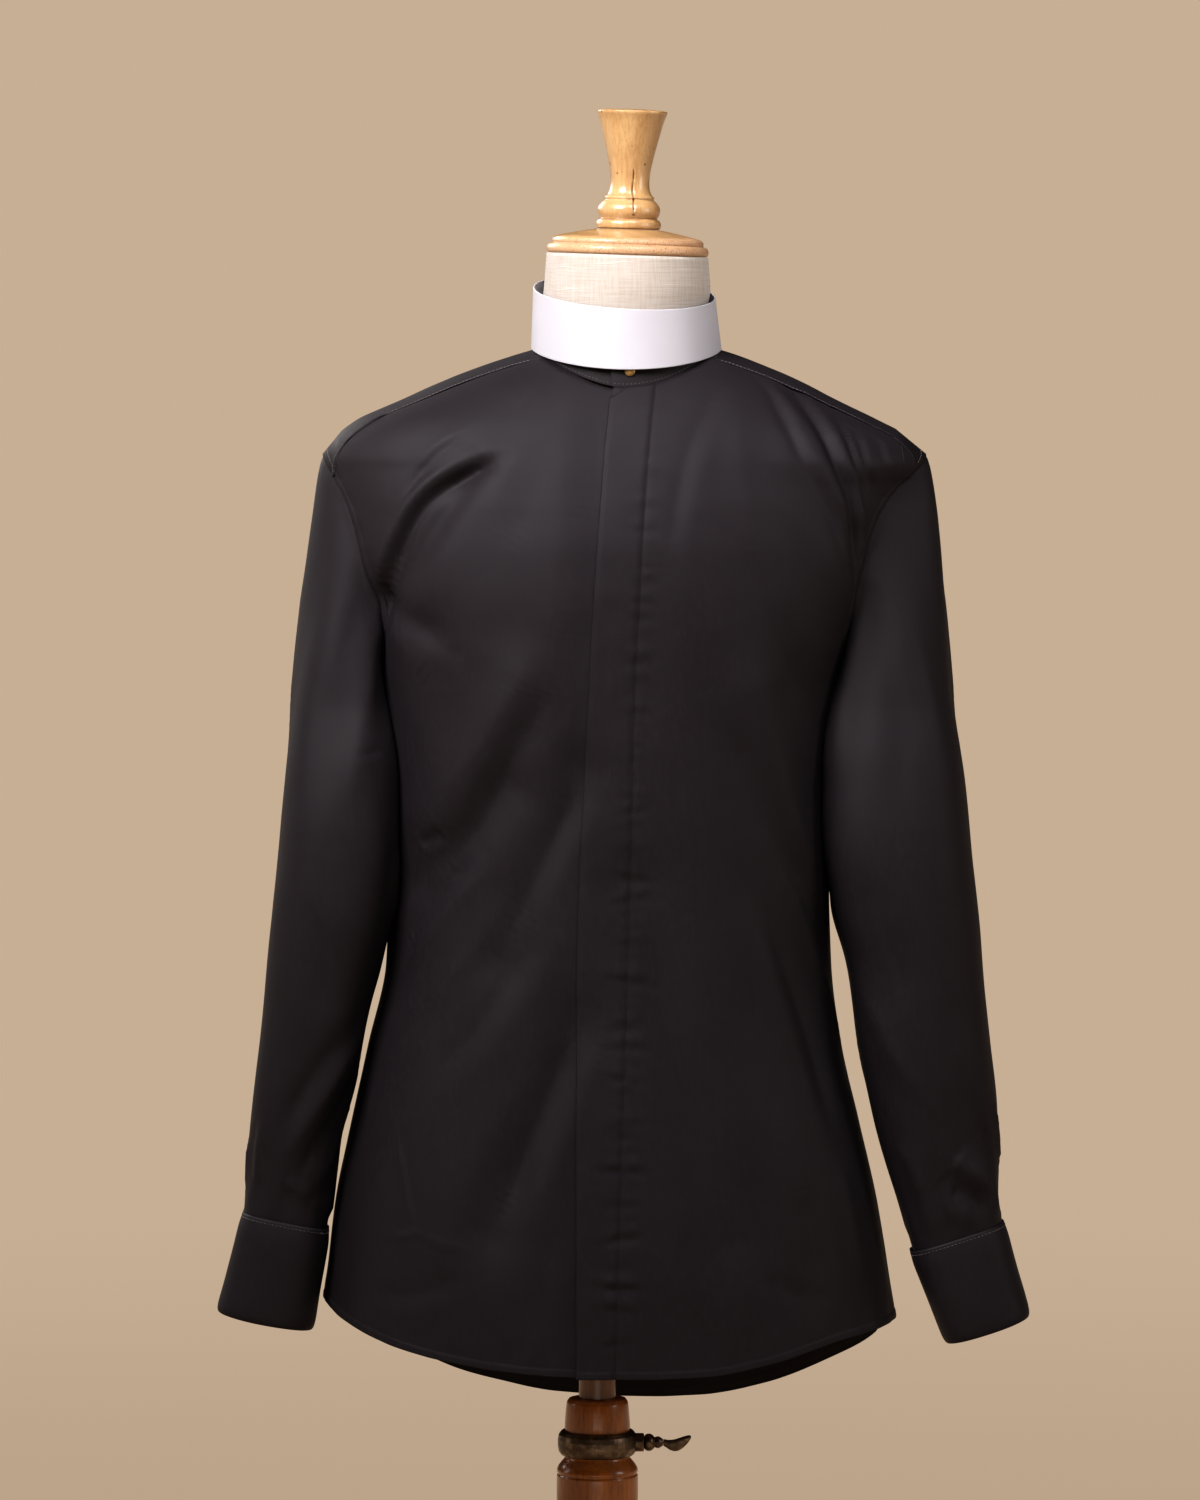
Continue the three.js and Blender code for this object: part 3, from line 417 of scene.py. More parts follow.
# Creases of the back.
backCreases = [
    ([(-150, 1282), (-132, 1230), (-104, 1170), (-84, 1110)], 15, -2.7, 0.35),
    ([(-168, 1240), (-160, 1190), (-140, 1130)], 9, -2.6, 0.4),
    ([(-60, 1288), (-52, 1240), (-50, 1190)], 12, 1.8, 0),
    ([(104, 1288), (96, 1236), (92, 1180)], 12, 1.8, 0),
    ([(188, 1282), (168, 1220), (138, 1160), (116, 1100)], 15, -3.2, -0.35),
    ([(206, 1236), (194, 1186), (172, 1130)], 9, -2.6, -0.4),
    ([(-70, 1120), (-96, 1060), (-122, 1000), (-138, 960)], 13, 2.2, 0),
    ([(96, 1126), (120, 1066), (146, 1000), (158, 960)], 13, 2.0, 0),
    ([(-130, 1016), (-90, 994), (-40, 986)], 8, -2.0, 0.5),
    ([(150, 1004), (110, 986), (60, 984)], 8, -2.2, -0.5),
    ([(-20, 1150), (-14, 1080), (-18, 1010)], 16, -1.8, 0.3),
    ([(44, 1140), (48, 1070), (42, 1000)], 16, 1.6, 0),
    ([(-112, 940), (-124, 860), (-140, 780), (-150, 710)], 13, -2.8, 0.35),
    ([(-58, 960), (-66, 870), (-80, 780), (-88, 690)], 14, 2.6, 0),
    ([(-20, 950), (-24, 860), (-30, 760), (-34, 650)], 12, -2.4, 0.35),
    ([(30, 960), (30, 870), (34, 770), (36, 660)], 15, 2.2, 0),
    ([(72, 950), (80, 860), (92, 760), (98, 660)], 12, -2.6, -0.35),
    ([(116, 960), (128, 870), (146, 780), (156, 700)], 13, 2.4, 0),
    ([(156, 930), (170, 850), (186, 770)], 10, -2.0, 0.3),
    ([(-6, 1292), (-2, 1260), (0, 1216)], 7, -1.2, 0.3),
]


# Low, slow unevenness that no cloth is without. The waves are longer down the cloth than across.
def unevenness(spots, seed, size=46.0, amount=0.55):
    shift = seed * np.array([17.3, 5.1, 9.7])
    slow = noiseAt(spots / (size, size, 1.9 * size) + shift)
    fine = noiseAt(spots / (17, 17, 28) + shift)
    return amount * 2 * slow + 0.16 * fine


# Small ripples that stitches pull into cloth along a line, uneven in size and spacing.
def pucker(distance, run, seed, amount=0.35, reach=7.0, pitch=9.0):
    wave = noiseOver(run / pitch, seed * 3.7, distance / 40)
    return 2 * amount * wave * np.exp(-(distance / reach) ** 2)


# A seam or hem seen from outside: the cloth is thicker at the edge and drawn in along its stitches.
def seamRise(distance, stitched=5.6, lift=0.55, grooveShade=0.4):
    raised = lift * (1 - smooth((distance - stitched + 0.6) / 2.2)) * smooth((distance + 0.9) / 1.2)
    return raised - grooveShade * np.exp(-((distance - stitched) / 0.8) ** 2)


def meshFrom(name, spots, faces, uvs=None):
    mesh = bpy.data.meshes.new(name)
    mesh.from_pydata((np.asarray(spots).reshape(-1, 3) * mm).tolist(), [], faces)
    if uvs is not None:
        layer = mesh.uv_layers.new(name="cloth")
        corners = np.empty(len(mesh.loops), dtype=np.int32)
        mesh.loops.foreach_get("vertex_index", corners)
        places = np.asarray(uvs).reshape(-1, 2)[corners] * mm
        layer.data.foreach_set("uv", places.astype(np.float32).ravel())
    mesh.shade_smooth()
    piece = bpy.data.objects.new(name, mesh)
    bpy.context.collection.objects.link(piece)
    return piece


def gridFaces(rows, columns, wrap=False, turned=False):
    i, j = np.meshgrid(np.arange(rows - 1), np.arange(columns if wrap else columns - 1), indexing="ij")
    k = (j + 1) % columns
    quads = np.stack([i * columns + j, i * columns + k, (i + 1) * columns + k, (i + 1) * columns + j], -1)
    quads = quads.reshape(-1, 4)
    return (quads[:, ::-1] if turned else quads).tolist()


# A run across and down the grid, in millimetres, for the weave to follow.
def runsOf(spots):
    return np.stack([reachOf(spots, 1), reachOf(spots, 0)], -1)


def pick(piece):
    bpy.ops.object.select_all(action="DESELECT")
    bpy.context.view_layer.objects.active = piece
    piece.select_set(True)


def modifierOn(piece, kind, **settings):
    pick(piece)
    modifier = piece.modifiers.new(kind.title(), kind)
    for key, value in settings.items():
        setattr(modifier, key, value)
    bpy.ops.object.modifier_apply(modifier=modifier.name)


def clothPiece(name, spots, wrap=False, turned=False, wall=shirt["cloth"]):
    piece = meshFrom(name, spots, gridFaces(*spots.shape[:2], wrap, turned), runsOf(spots))
    modifierOn(piece, "SOLIDIFY", thickness=wall * mm, offset=-1.0, use_even_offset=False)
    return piece


levels = np.linspace(585, 1410.5, 700)


# Angles and lengths along each level, from a panel's edge to its other side.
def levelTable(first, last):
    phi = mix(first(levels)[:, None], last(levels)[:, None], np.linspace(0, 1, 180))
    return phi, reachOf(skinPoint(phi, levels[:, None] + 0 * phi), 1)


# The same angles and lengths at any height.
def tableAt(table, z):
    at = min(max((z - levels[0]) / (levels[1] - levels[0]), 0), len(levels) - 1.001)
    i = int(at)
    return [mix(rows[i], rows[i + 1], at - i) for rows in table]


# Places from an edge inwards: close together at the seam, then every few millimetres.
seamSteps = np.array([0, 0.5, 1.2, 2.2, 3.6, 4.8, 5.6, 6.2, 7.0, 8.2, 10.0])


# The angle at a distance from a panel's first edge, from its last edge (minus), or at a share between.
def angleIn(table, z, near, share):
    angles, lengths = tableAt(table, z)
    if share is None:
        place = near if near >= 0 else lengths[-1] + near
    else:
        place = mix(seamSteps[-1], lengths[-1] - seamSteps[-1], share)
    return np.interp(place, lengths, angles)


def hemAt(phi):
    spot = skinPoint(np.array(phi), np.array(660.0))
    return float(along(hemArray, spot[0], 1 if spot[1] < 0 else 2))


def necklineTop(angle):
    low, high = 1330.0, 1405.0
    for _ in range(halvings):
        half = (low + high) / 2
        x, y, _ = skinPoint(np.array(angle(half)), np.array(half))
        low, high = (half, high) if outsideNeck(x, y) else (low, half)
    return (low + high) / 2


# A grid over one panel, as angles and heights.
def panelGrid(table, counts, topOf):
    middleCount, belowCount, aboveCount = counts
    columns = [(near, None) for near in seamSteps[:-1]]
    columns += [(0, share) for share in np.linspace(0, 1, middleCount)]
    columns += [(min(-near, -1e-6), None) for near in seamSteps[:-1][::-1]]
    belowShare = np.linspace(0, 1, belowCount)[:-1]
    aboveShare = np.concatenate([[0, 0.003, 0.008, 0.016], np.linspace(0.026, 1, aboveCount)])
    phi, z = [], []
    for near, share in columns:
        angle = lambda height: angleIn(table, height, near, share)
        low, top = hemAt(angle(655)), topOf(angle)
        below = mix(low + seamSteps[-1], shirt["underarm"], belowShare)
        above = mix(shirt["underarm"], top, aboveShare)
        z.append(np.concatenate([low + seamSteps[:-1], below, above]))
        phi.append([angle(height) for height in z[-1]])
    return np.array(phi).T, np.array(z).T


# Distances from a panel's first and last edge, for each place of its grid.
def edgeDistances(table, phi, z):
    near, far = np.empty(phi.shape), np.empty(phi.shape)
    for place in np.ndindex(phi.shape):
        angles, lengths = tableAt(table, z[place])
        way = 1 if angles[-1] > angles[0] else -1
        near[place] = np.interp(way * phi[place], way * angles, lengths)
        far[place] = lengths[-1] - near[place]
    return near, far


def frontEdge(side):
    def edge(z):
        armhole = -armholeY(z, shirt["armholeFront"])
        under = 4.5 * smooth((z - shirt["seamTop"]) / 9)  # runs on under the yoke
        y = np.where(z < shirt["seamTop"], armhole, yokeSeamY(z) + under)
        return np.where(z < shirt["underarm"], side * math.pi / 2, angleTo(sideX(y, z, side), y, z))
    return edge


def backEdge(side):
    def edge(z):
        y = armholeY(np.minimum(z, shirt["backSeam"]), shirt["armholeBack"])
        angle = np.where(z < shirt["underarm"], side * math.pi / 2, angleTo(sideX(y, z, side), y, z))
        return np.where(angle < 0, angle + 2 * math.pi, angle)
    return edge


# Creases laid on the front (-1) or the back (1).
def creasesOf(facing, rows):
    lines = [softLine(places) for places, *_ in rows]
    spots = [skinPoint(angleAtX(line[:, 0], line[:, 1], facing), line[:, 1]) for line in lines]
    return [(spot, *row[1:]) for spot, row in zip(spots, rows)]


allCreases = creasesOf(-1, frontCreases) + creasesOf(1, backCreases)


def clothOut(phi, z, seed):
    spots, normals = skin(phi, z)
    flat = 1 - 0.75 * smooth((z - 1330) / 50)
    return broadDepth(spots) + creaseDepth(spots, normals, allCreases) + unevenness(spots, seed) * flat


def dressed(phi, z, out):
    spots, normals = skin(phi, z)
    return spots + normals * out[..., None], normals


def foldX(z):
    return along(flyArray, z, 1)


def stitchX(z):
    return along(flyArray, z, 2) + 0.4


# Where the fly's stitches have pulled short wrinkles into the cloth: height, reach to either side, depth.
flyPulls = [(1352, 8, 0.3), (1321, 10, 0.4), (1270, 8, 0.25), (1233, 9, 0.3), (1196, 8, 0.25),
            (1151, 9, 0.3), (1118, 8, 0.35), (1094, 10, 0.4), (1062, 9, 0.4), (1034, 10, 0.4),
            (1012, 12, 0.6), (996, 13, 0.9), (962, 9, 0.5), (936, 14, 0.9), (905, 10, 0.5),
            (886, 13, 0.8), (862, 12, 1.0), (829, 10, 0.6), (796, 14, 1.1), (772, 11, 0.6),
            (745, 13, 1.0), (709, 14, 1.1), (692, 12, 0.8), (668, 10, 0.6)]


# The left front's cloth near its fly, used for the front and for the fly that lies on it.
def leftFrontOut(phi, z):
    fromStitch = stitchX(z) - skinPoint(phi, z)[..., 0]
    out = clothOut(phi, z, 1) + pucker(fromStitch, z, 6, 0.42, 9, 8)
    for k, (height, reach, deep) in enumerate(flyPulls):
        bent = z - height - 0.22 * fromStitch * math.sin(k * 2.1)
        near = np.exp(-(fromStitch / reach) ** 2) * (0.15 + 0.85 * smooth(np.abs(fromStitch) / 5))
        out -= deep * near * (np.exp(-(bent / 3.6) ** 2) - 0.75 * np.exp(-((bent - 6.0) / 4.2) ** 2))
    return out, fromStitch


stitchLines = []  # lines of points and their normals, for the topstitching


# Stitches along a finished grid's rows, at one distance from an edge.
def stitchRows(spots, normals, distance, at, rows=slice(None)):
    line, facing = [], []
    for spot, normal, away in zip(spots[rows], normals[rows], distance[rows]):
        order = np.argsort(away)
        line.append(pointAt(at, away[order], spot[order]))
        facing.append(pointAt(at, away[order], normal[order]))
    stitchLines.append((np.array(line), np.array(facing)))


def stitchColumns(spots, normals, distance, at, rows=slice(None)):
    turned = (grid[rows].swapaxes(0, 1) for grid in (spots, normals, distance))
    stitchRows(*turned, at)


# A panel's thicker hem, a little puckered along its stitches.
def hemRise(hem, run, seed):
    stitched = shirt["stitched"]
    return seamRise(hem, stitched, 0.5, 0.35) + pucker(hem - stitched, run, seed, 0.45, 12, 14)


# Makes a panel's piece and notes its stitches: along its sides up to a height, then along its hem.
def sewPanel(name, grid, out, sides, top, turned=False, sideSeams=False):
    spots, normals = dressed(*grid, out)
    piece = clothPiece(name, spots, turned=turned)
    height = grid[1][:, 0]
    for side in sides:
        armhole = (height > shirt["underarm"] + 6) & (height < top)
        stitchRows(spots, normals, side, shirt["stitched"], armhole)
        if sideSeams:
            stitchRows(spots, normals, side, shirt["sideStitched"], height < shirt["underarm"] - 4)
    stitchColumns(spots, normals, grid[1] - grid[1][0], shirt["stitched"])
    return piece


def makeFront(name, side, past, armholeSeed, hemSeed):
    table = levelTable(frontEdge(side), lambda z: angleAtX(foldX(z) + past, z))
    phi, z = panelGrid(table, shirt["frontMesh"], necklineTop)
    away, _ = edgeDistances(table, phi, z)
    if side > 0:
        out, fromStitch = leftFrontOut(phi, z)
        under = 0.55 * smooth((fromStitch + 1.2) / 4)  # lies lower under the fly
    else:
        out = clothOut(phi, z, 3)
        under = 3.0 * smooth((skinPoint(phi, z)[..., 0] - foldX(z) + 34) / 32)
    armhole = (z > shirt["underarm"] + 4) & (z < shirt["seamTop"] + 3)
    sideSeam = seamRise(away, shirt["sideStitched"], 0.3, 0.25) * (z < shirt["underarm"])
    out += np.where(armhole, seamRise(away), sideSeam)
    out += np.where(armhole, pucker(away - shirt["stitched"], z, armholeSeed, 0.3, 5), 0)
    out += hemRise(z - z[0], away, hemSeed)
    out -= 1.5 * smooth((z - shirt["seamTop"] - 4) / 8) * (1 - smooth((away - 5.4) / 3.4))
    return sewPanel(name, (phi, z), out - under, [away], shirt["seamTop"], turned=side < 0)


def makeBack():
    table = levelTable(backEdge(1), backEdge(-1))
    phi, z = panelGrid(table, shirt["backMesh"], lambda angle: shirt["backSeam"] + 4.0)
    left, right = edgeDistances(table, phi, z)
    side = np.minimum(left, right)
    out = clothOut(phi, z, 5)
    sideSeam = seamRise(side, shirt["sideStitched"], 0.55, 0.35)
    out += np.where(z > shirt["underarm"] + 4, seamRise(side), sideSeam)
    out += hemRise(z - z[0], left, 9)
    out -= 0.9 * smooth((z - shirt["backSeam"] + 5) / 4)
    return sewPanel("backPanel", (phi, z), out, [left, right], shirt["backSeam"] - 2, sideSeams=True)


# The yoke lies over the shoulders: from the front seams and the neckline to the seam behind.
yoke = {
    "shoulderSteps": 52,
    "neckSteps": 38,
    "acrossSteps": 60,
    "shoulderShare": 0.6,
    "deep": 190,  # about its length from front to back
    "long": 165,  # about the length of a shoulder's seam
    "frontStitched": 2.2,
    "backStitched": 1.4,
    "creased": 0.6,  # share of the fronts' and back's creases that carries on over it
}


def tipAngle(z):
    return math.acos((z - shirt["armholeMiddle"]) / shirt["armholeHalf"])


# Angles and heights of half of the yoke: rows from the armhole to the middle of the back, each from
# the front seam or the neckline to the back seam.
def halfYoke(side, seamShare, backShare):
    low = shirt["backSeam"]
    neckX, neckY = neckline(side * shirt["neckPoint"])
    z = mix(shirt["seamTop"], float(heightOver(neckX, neckY)), seamShare)
    y = yokeSeamY(z)
    theta = side * np.linspace(shirt["neckPoint"], math.pi, yoke["neckSteps"])[1:]
    aroundX, aroundY = neckline(theta)
    edgeX = np.concatenate([sideX(y, z, side), aroundX])
    edgeY = np.concatenate([y, aroundY])
    edgeZ = np.concatenate([z, heightOver(aroundX, aroundY)])
    part = yoke["shoulderShare"]
    neckShare = np.linspace(0, 1, yoke["neckSteps"])[1:]
    share = np.concatenate([seamShare * part, part + (1 - part) * neckShare])
    endX = mix(sideX(armholeY(low, shirt["armholeBack"]), low, side), middleAt(low), share)
    x = mix(edgeX[:, None], endX[:, None], np.sqrt(backShare))
    ridge, crest = heightOver(x, 0.0), heightOver(edgeX, 0.0)
    start = np.sign(edgeY) * np.sqrt(np.maximum(0, crest - edgeZ) / (crest - low))
    v = mix(start[:, None], 1, backShare)
    height = np.minimum(ridge - (ridge - low) * v * v, ridge - 0.02)
    middle, right, left, front, back, power = sectionAt(height)
    rest = ovalRest((x - middle) / np.where(x < middle, right, left), power)
    phi = angleTo(x, np.where(v < 0, -front, back) * rest, height)
    tips = mix(tipAngle(shirt["seamTop"]), -tipAngle(low), backShare)
    tip, tipZ = armholePoint(side, tips, 0)
    return np.vstack([tip, phi]), np.vstack([tipZ, height])


def makeYoke():
    nearSeam = seamSteps / yoke["deep"]
    between = np.linspace(0, 1, yoke["acrossSteps"])[4:-4]
    backShare = np.concatenate([nearSeam, between, 1 - nearSeam[::-1]])
    shoulder = np.linspace(0.07, 1, yoke["shoulderSteps"])
    seamShare = np.concatenate([seamSteps[1:] / yoke["long"], shoulder])
    halves = [halfYoke(side, seamShare, backShare) for side in (-1, 1)]
    phi, z = (np.vstack([right, left[::-1][1:]]) for right, left in zip(*halves))
    spots, normals = skin(phi, z)
    across, ends = reachOf(spots, 1), reachOf(spots, 0)
    fromBack = across[:, -1:] - across
    end = np.minimum(ends, ends[-1] - ends)
    count = len(seamShare)
    atFront = np.full(len(z), True)
    atFront[count:-count] = False
    out = creaseDepth(spots, normals, allCreases) * yoke["creased"] + unevenness(spots, 11, 52, 0.3)
    out += 0.6 + seamRise(np.where(atFront[:, None], across, 30), yoke["frontStitched"], 0.8, 0.25)
    out += seamRise(fromBack, yoke["backStitched"], 0.45, 0.2) + seamRise(end)
    spots = spots + normals * out[..., None]
    piece = clothPiece("yokePanel", spots, turned=True)
    for rows in (slice(0, count), slice(len(z) - count, len(z))):
        stitchRows(spots, normals, across, yoke["frontStitched"], rows)
    stitchRows(spots, normals, fromBack, yoke["backStitched"])
    for rows in (slice(0, len(z) // 2), slice(len(z) // 2, len(z))):
        stitchColumns(spots, normals, end, shirt["stitched"], rows)
    return piece


# The fly is a pleat of the left front, stitched down along one side and folded at the other.
placket = {
    "wide": 33,
    "long": 735,
    "thick": 1.45,
    "droop": 8.0,
    "droopWide": 13.0,
    "levels": 330,
    "cloth": 0.4,
    "lift": 0.7,  # of its folded edge
}


def makePlacket():
    wide, long = placket["wide"], placket["long"]
    atStitches, atFold = np.array([0, 0.5, 1.1, 1.9, 3.0, 4.5, 6.5, 9]), np.array([0.8, 0.35, 0.1, 0.0])
    share = np.concatenate([atStitches / wide, np.linspace(0.34, 0.93, 12), 1 - atFold / wide])
    atHem, atTop = [0, 0.6, 1.4, 2.6, 4, 5.2, 6, 6.8, 8, 10.5], [729, 731.5, 733.4, long]
    down = np.concatenate([atHem, np.linspace(13, 726, placket["levels"]), atTop]) / long
    low = hemAt(float(angleAtX(0.0, 650.0))) - 0.6
    tops = []
    for part in share:
        top = necklineTop(lambda z: float(angleAtX(mix(stitchX(z), foldX(z), part), z)))
        drop = 1 - smooth((1 - part) * wide / placket["droopWide"])
        tops.append(top - 0.4 - placket["droop"] * drop)
    behind = np.array([-0.15, 0.1, 1.2, 3, 6, 10])  # where the fold runs back underneath
    tops = np.array(tops + [tops[-1] - 0.4] * len(behind))
    z = low + down[:, None] * (tops - low)
    x = mix(stitchX(z), foldX(z), np.concatenate([share, np.ones(len(behind))]))
    x[:, -len(behind):] += behind - 0.15
    puff = placket["thick"] * smooth(share * wide / 5.0) + 0.12 - 0.4 * smooth((share - 0.9) / 0.1)
    puff = np.concatenate([puff, [0.95, 0.5, 0.35, 0.3, 0.3, 0.3]]) + 0 * z
    phi = angleAtX(x, z)
    spots, normals = skin(phi, z)
    base, fromStitch = leftFrontOut(phi, z)
    run = z - low
    base += pucker(fromStitch - 16, run, 21, 0.3, 14, 24)
    # the fold's edge rolls: it lifts here and there along its length
    lifts = noiseOver(z[:, -1:] / 64, 4.2, 0)
    base += placket["lift"] * np.maximum(lifts, -0.2) * np.exp(-((x - foldX(z)) / 7) ** 2)
    puff = puff + seamRise(run, shirt["stitched"], 0.45, 0.35) * (puff > 1.1)
    spots = spots + normals * (base + puff)[..., None]
    piece = clothPiece("placketStrip", spots, wall=placket["cloth"])
    stitchRows(spots + normals * 0.1, normals, fromStitch, 0.7)
    return piece


frontRightPanel = makeFront("frontRightPanel", -1, 22, 8, 7)
frontLeftPanel = makeFront("frontLeftPanel", 1, 1.2, 4, 2)
placketStrip = makePlacket()
backPanel = makeBack()
yokePanel = makeYoke()
print("shirt body made")

# Sections of the sleeves: height, outer x, inner x, front y, back y, rise per mm of x.
sleeveRight = {
    "side": -1,
    "rows": np.array([
        (770, -263.5, -199, -57, 25, -0.18),
        (790, -263, -196, -59, 26, -0.15),
        (812, -261, -192.5, -62, 28, -0.12),
        (850, -257.5, -182.5, -67, 31, -0.07),
        (911, -250.5, -169, -74, 36, 0),
        (949, -247, -158, -78, 40, 0),
        (987, -243.5, -149, -82, 43, 0),
        (1040, -238, -143, -83, 47, 0),
        (1090, -233, -142, -78, 52, 0),
        (1135, -229, -148, -68, 60, 0),
    ], float),
    "cuffTop": (-234.5, -16, 747.5),
    "cuffBottom": (-250.5, -20, 668),
    "cuffWide": (34, 38),
    "cuffDeep": (40, 37),
}
sleeveLeft = {
    "side": 1,
    "rows": np.array([
        (764, 302, 229, -57, 25, 0.27),
        (790, 301, 220, -60, 27, 0.22),
        (828, 300, 208.5, -64, 31, 0.14),
        (881, 295, 196, -70, 35, 0.06),
        (941, 289, 187, -74, 40, 0),
        (983, 285, 174, -78, 43, 0),
        (1043, 279, 161, -80, 47, 0),
        (1090, 274, 160, -76, 52, 0),
        (1135, 267, 164, -67, 60, 0),
    ], float),
    "cuffTop": (270.5, -16, 735),
    "cuffBottom": (294.5, -20, 661),
    "cuffWide": (37.5, 34),
    "cuffDeep": (40, 37),
}
# Creases of the sleeves: places as the angle round the sleeve (0 outer side, 90 front, 180 inner,
# 270 back) and height, then width, depth and roll.
rightSleeveCreases = [
    ([(118, 1230), (112, 1170), (100, 1110), (92, 1050)], 11, -3.0, 0.35),
    ([(96, 1270), (88, 1200), (74, 1120), (66, 1040)], 13, 1.8, 0),
    ([(140, 1196), (136, 1150), (132, 1104)], 8, -2.2, 0.4),
    ([(88, 1101), (104, 1103), (124, 1110)], 2.6, -1.3, 0.7),
    ([(150, 1040), (140, 1012), (150, 984), (170, 962)], 8, -2.2, 0.4),
    ([(70, 1000), (84, 950), (104, 900)], 14, 1.6, 0),
    ([(150, 905), (124, 868), (96, 820), (84, 786)], 8, -2.6, 0.5),
    ([(158, 872), (134, 838), (108, 800), (98, 772)], 5.5, 2.2, 0),
    ([(168, 850), (146, 812), (124, 776)], 6, -2.4, -0.4),
    ([(118, 900), (96, 862), (76, 820)], 8, 1.4, 0),
    ([(58, 830), (52, 800), (54, 768)], 5, -1.8, 0.5),
    ([(28, 812), (20, 788), (22, 766)], 4.5, -1.8, 0.5),
    ([(84, 782), (96, 768), (122, 766)], 3.4, -1.6, 0.6),
    ([(110, 764), (134, 770), (158, 764)], 3.2, -1.5, -0.6),
    ([(-20, 1250), (-10, 1180), (0, 1110)], 13, -1.8, 0.3),
    ([(-60, 1220), (-50, 1150), (-30, 1080)], 13, 2.0, 0),
    ([(-100, 1180), (-80, 1100), (-60, 1030)], 12, -2.4, 0.4),
    ([(-120, 1010), (-84, 985), (-40, 975)], 9, -2.8, 0.5),
    ([(-120, 975), (-90, 950), (-56, 938)], 9, 2.0, 0),
    ([(-130, 938), (-96, 914), (-60, 900)], 8, -2.2, -0.4),
    ([(-100, 880), (-84, 836), (-72, 790)], 8, -2.2, 0.4),
    ([(-60, 870), (-48, 820), (-44, 776)], 9, 1.6, 0),
    ([(200, 880), (212, 830), (222, 784)], 8, -2.0, 0.4),
    ([(250, 800), (254, 780), (256, 764)], 3.6, -1.8, 0.6),
    ([(280, 802), (282, 782), (284, 764)], 3.6, -1.8, 0.6),
]
leftSleeveCreases = [
    ([(124, 1270), (120, 1200), (124, 1130), (128, 1060)], 11, -3.0, -0.4),
    ([(92, 1280), (84, 1200), (80, 1120), (84, 1040)], 13, 2.2, 0),
    ([(146, 1180), (140, 1130), (136, 1080)], 8, -1.8, 0.4),
    ([(66, 1240), (58, 1160), (54, 1080)], 12, -1.6, 0.3),
    ([(120, 1020), (110, 960), (96, 900)], 14, 1.8, 0),
    ([(140, 930), (120, 880), (96, 836)], 10, -1.8, 0.4),
    ([(60, 900), (50, 850), (44, 806)], 10, -1.6, 0.3),
    ([(52, 832), (44, 806), (40, 778)], 3.2, 2.4, 0),
    ([(30, 840), (22, 812), (16, 786)], 5, -2.4, -0.5),
    ([(84, 800), (70, 788), (44, 772)], 8, -3.2, 0.5),
    ([(96, 776), (76, 770), (50, 760)], 5.5, 2.0, 0),
    ([(104, 762), (84, 756), (60, 748)], 4, -1.8, 0.4),
    ([(130, 812), (120, 786), (116, 760)], 6, -1.4, 0.4),
    ([(-20, 1250), (-10, 1180), (0, 1110)], 13, -1.8, 0.3),
    ([(-60, 1220), (-50, 1150), (-30, 1080)], 13, 2.0, 0),
    ([(-100, 1180), (-80, 1100), (-60, 1030)], 12, -2.4, 0.4),
    ([(-124, 1020), (-86, 996), (-44, 990)], 9, -2.8, 0.5),
    ([(-120, 984), (-92, 962), (-58, 950)], 9, 2.0, 0),
    ([(-128, 946), (-96, 926), (-64, 912)], 8, -2.2, -0.4),
    ([(-100, 884), (-82, 840), (-70, 796)], 8, -2.2, 0.4),
    ([(-56, 876), (-46, 830), (-40, 790)], 9, 1.6, 0),
    ([(200, 890), (212, 840), (222, 796)], 8, -2.0, 0.4),
    ([(250, 806), (254, 786), (256, 768)], 3.6, -1.8, 0.6),
    ([(282, 808), (284, 788), (286, 768)], 3.6, -1.8, 0.6),
]
sleeve = {
    "around": 116,
    "capRows": 62,
    "armRows": 118,
    "aroundRadius": 46,  # turns an angle round the arm into millimetres
    "clearOfBody": 0.8,
    "power": 2.5,  # squareness of the arm's section
    "bulge": 2.5,  # of the cap, and how much more at its outer side
    "outerBulge": 1.5,
    "uneven": (40, 0.7),  # size and depth
    "gathers": 3.2,
    "gatherReach": 24,
    "seamAngle": math.radians(196),
    "seamDeep": 0.5,
    "giveFrom": shirt["underarm"] - 4,  # below this the arm gives way to the body's folds
}


def oblong(wide, deep, power, psi):
    across = np.abs(np.cos(psi) / wide) ** power
    return (across + np.abs(np.sin(psi) / deep) ** power) ** (-1 / power)


# Where the arm comes within a few millimetres of the body, it is eased outside it.
def easedRoom(room, within):
    return np.where(room < within, within * np.exp(np.minimum(room, within) / within - 1), room)


def sleevePoint(arm, z, psi):
    side = arm["side"]
    outer, inner, front, back, slope = (along(arm["rows"], z, column) for column in range(1, 6))
    radius = oblong(np.abs(outer - inner) / 2, (back - front) / 2, sleeve["power"], psi)
    x = (outer + inner) / 2 + side * radius * np.cos(psi)
    y = (front + back) / 2 - radius * np.sin(psi)
    height = z + slope * (x - (outer + inner) / 2)
    nearest = sideX(y, height, side) + side * sleeve["clearOfBody"]
    return np.stack([nearest + side * easedRoom(side * (x - nearest), 5), y, height], -1)


def cuffPoint(arm, t, out, psi):
    side = arm["side"]
    top, bottom = np.array(arm["cuffTop"], float), np.array(arm["cuffBottom"], float)
    axis = unit(bottom - top)
    across = unit(np.array([side, 0, 0]) - side * axis[0] * axis)
    ahead = unit(np.array([0, -1, 0]) + axis[1] * axis)
    radius = oblong(mix(*arm["cuffWide"], t) + out, mix(*arm["cuffDeep"], t) + out, cuff["power"], psi)
    middle = top + (bottom - top) * np.asarray(t)[..., None]
    return middle + across * (radius * np.cos(psi))[..., None] + ahead * (radius * np.sin(psi))[..., None]


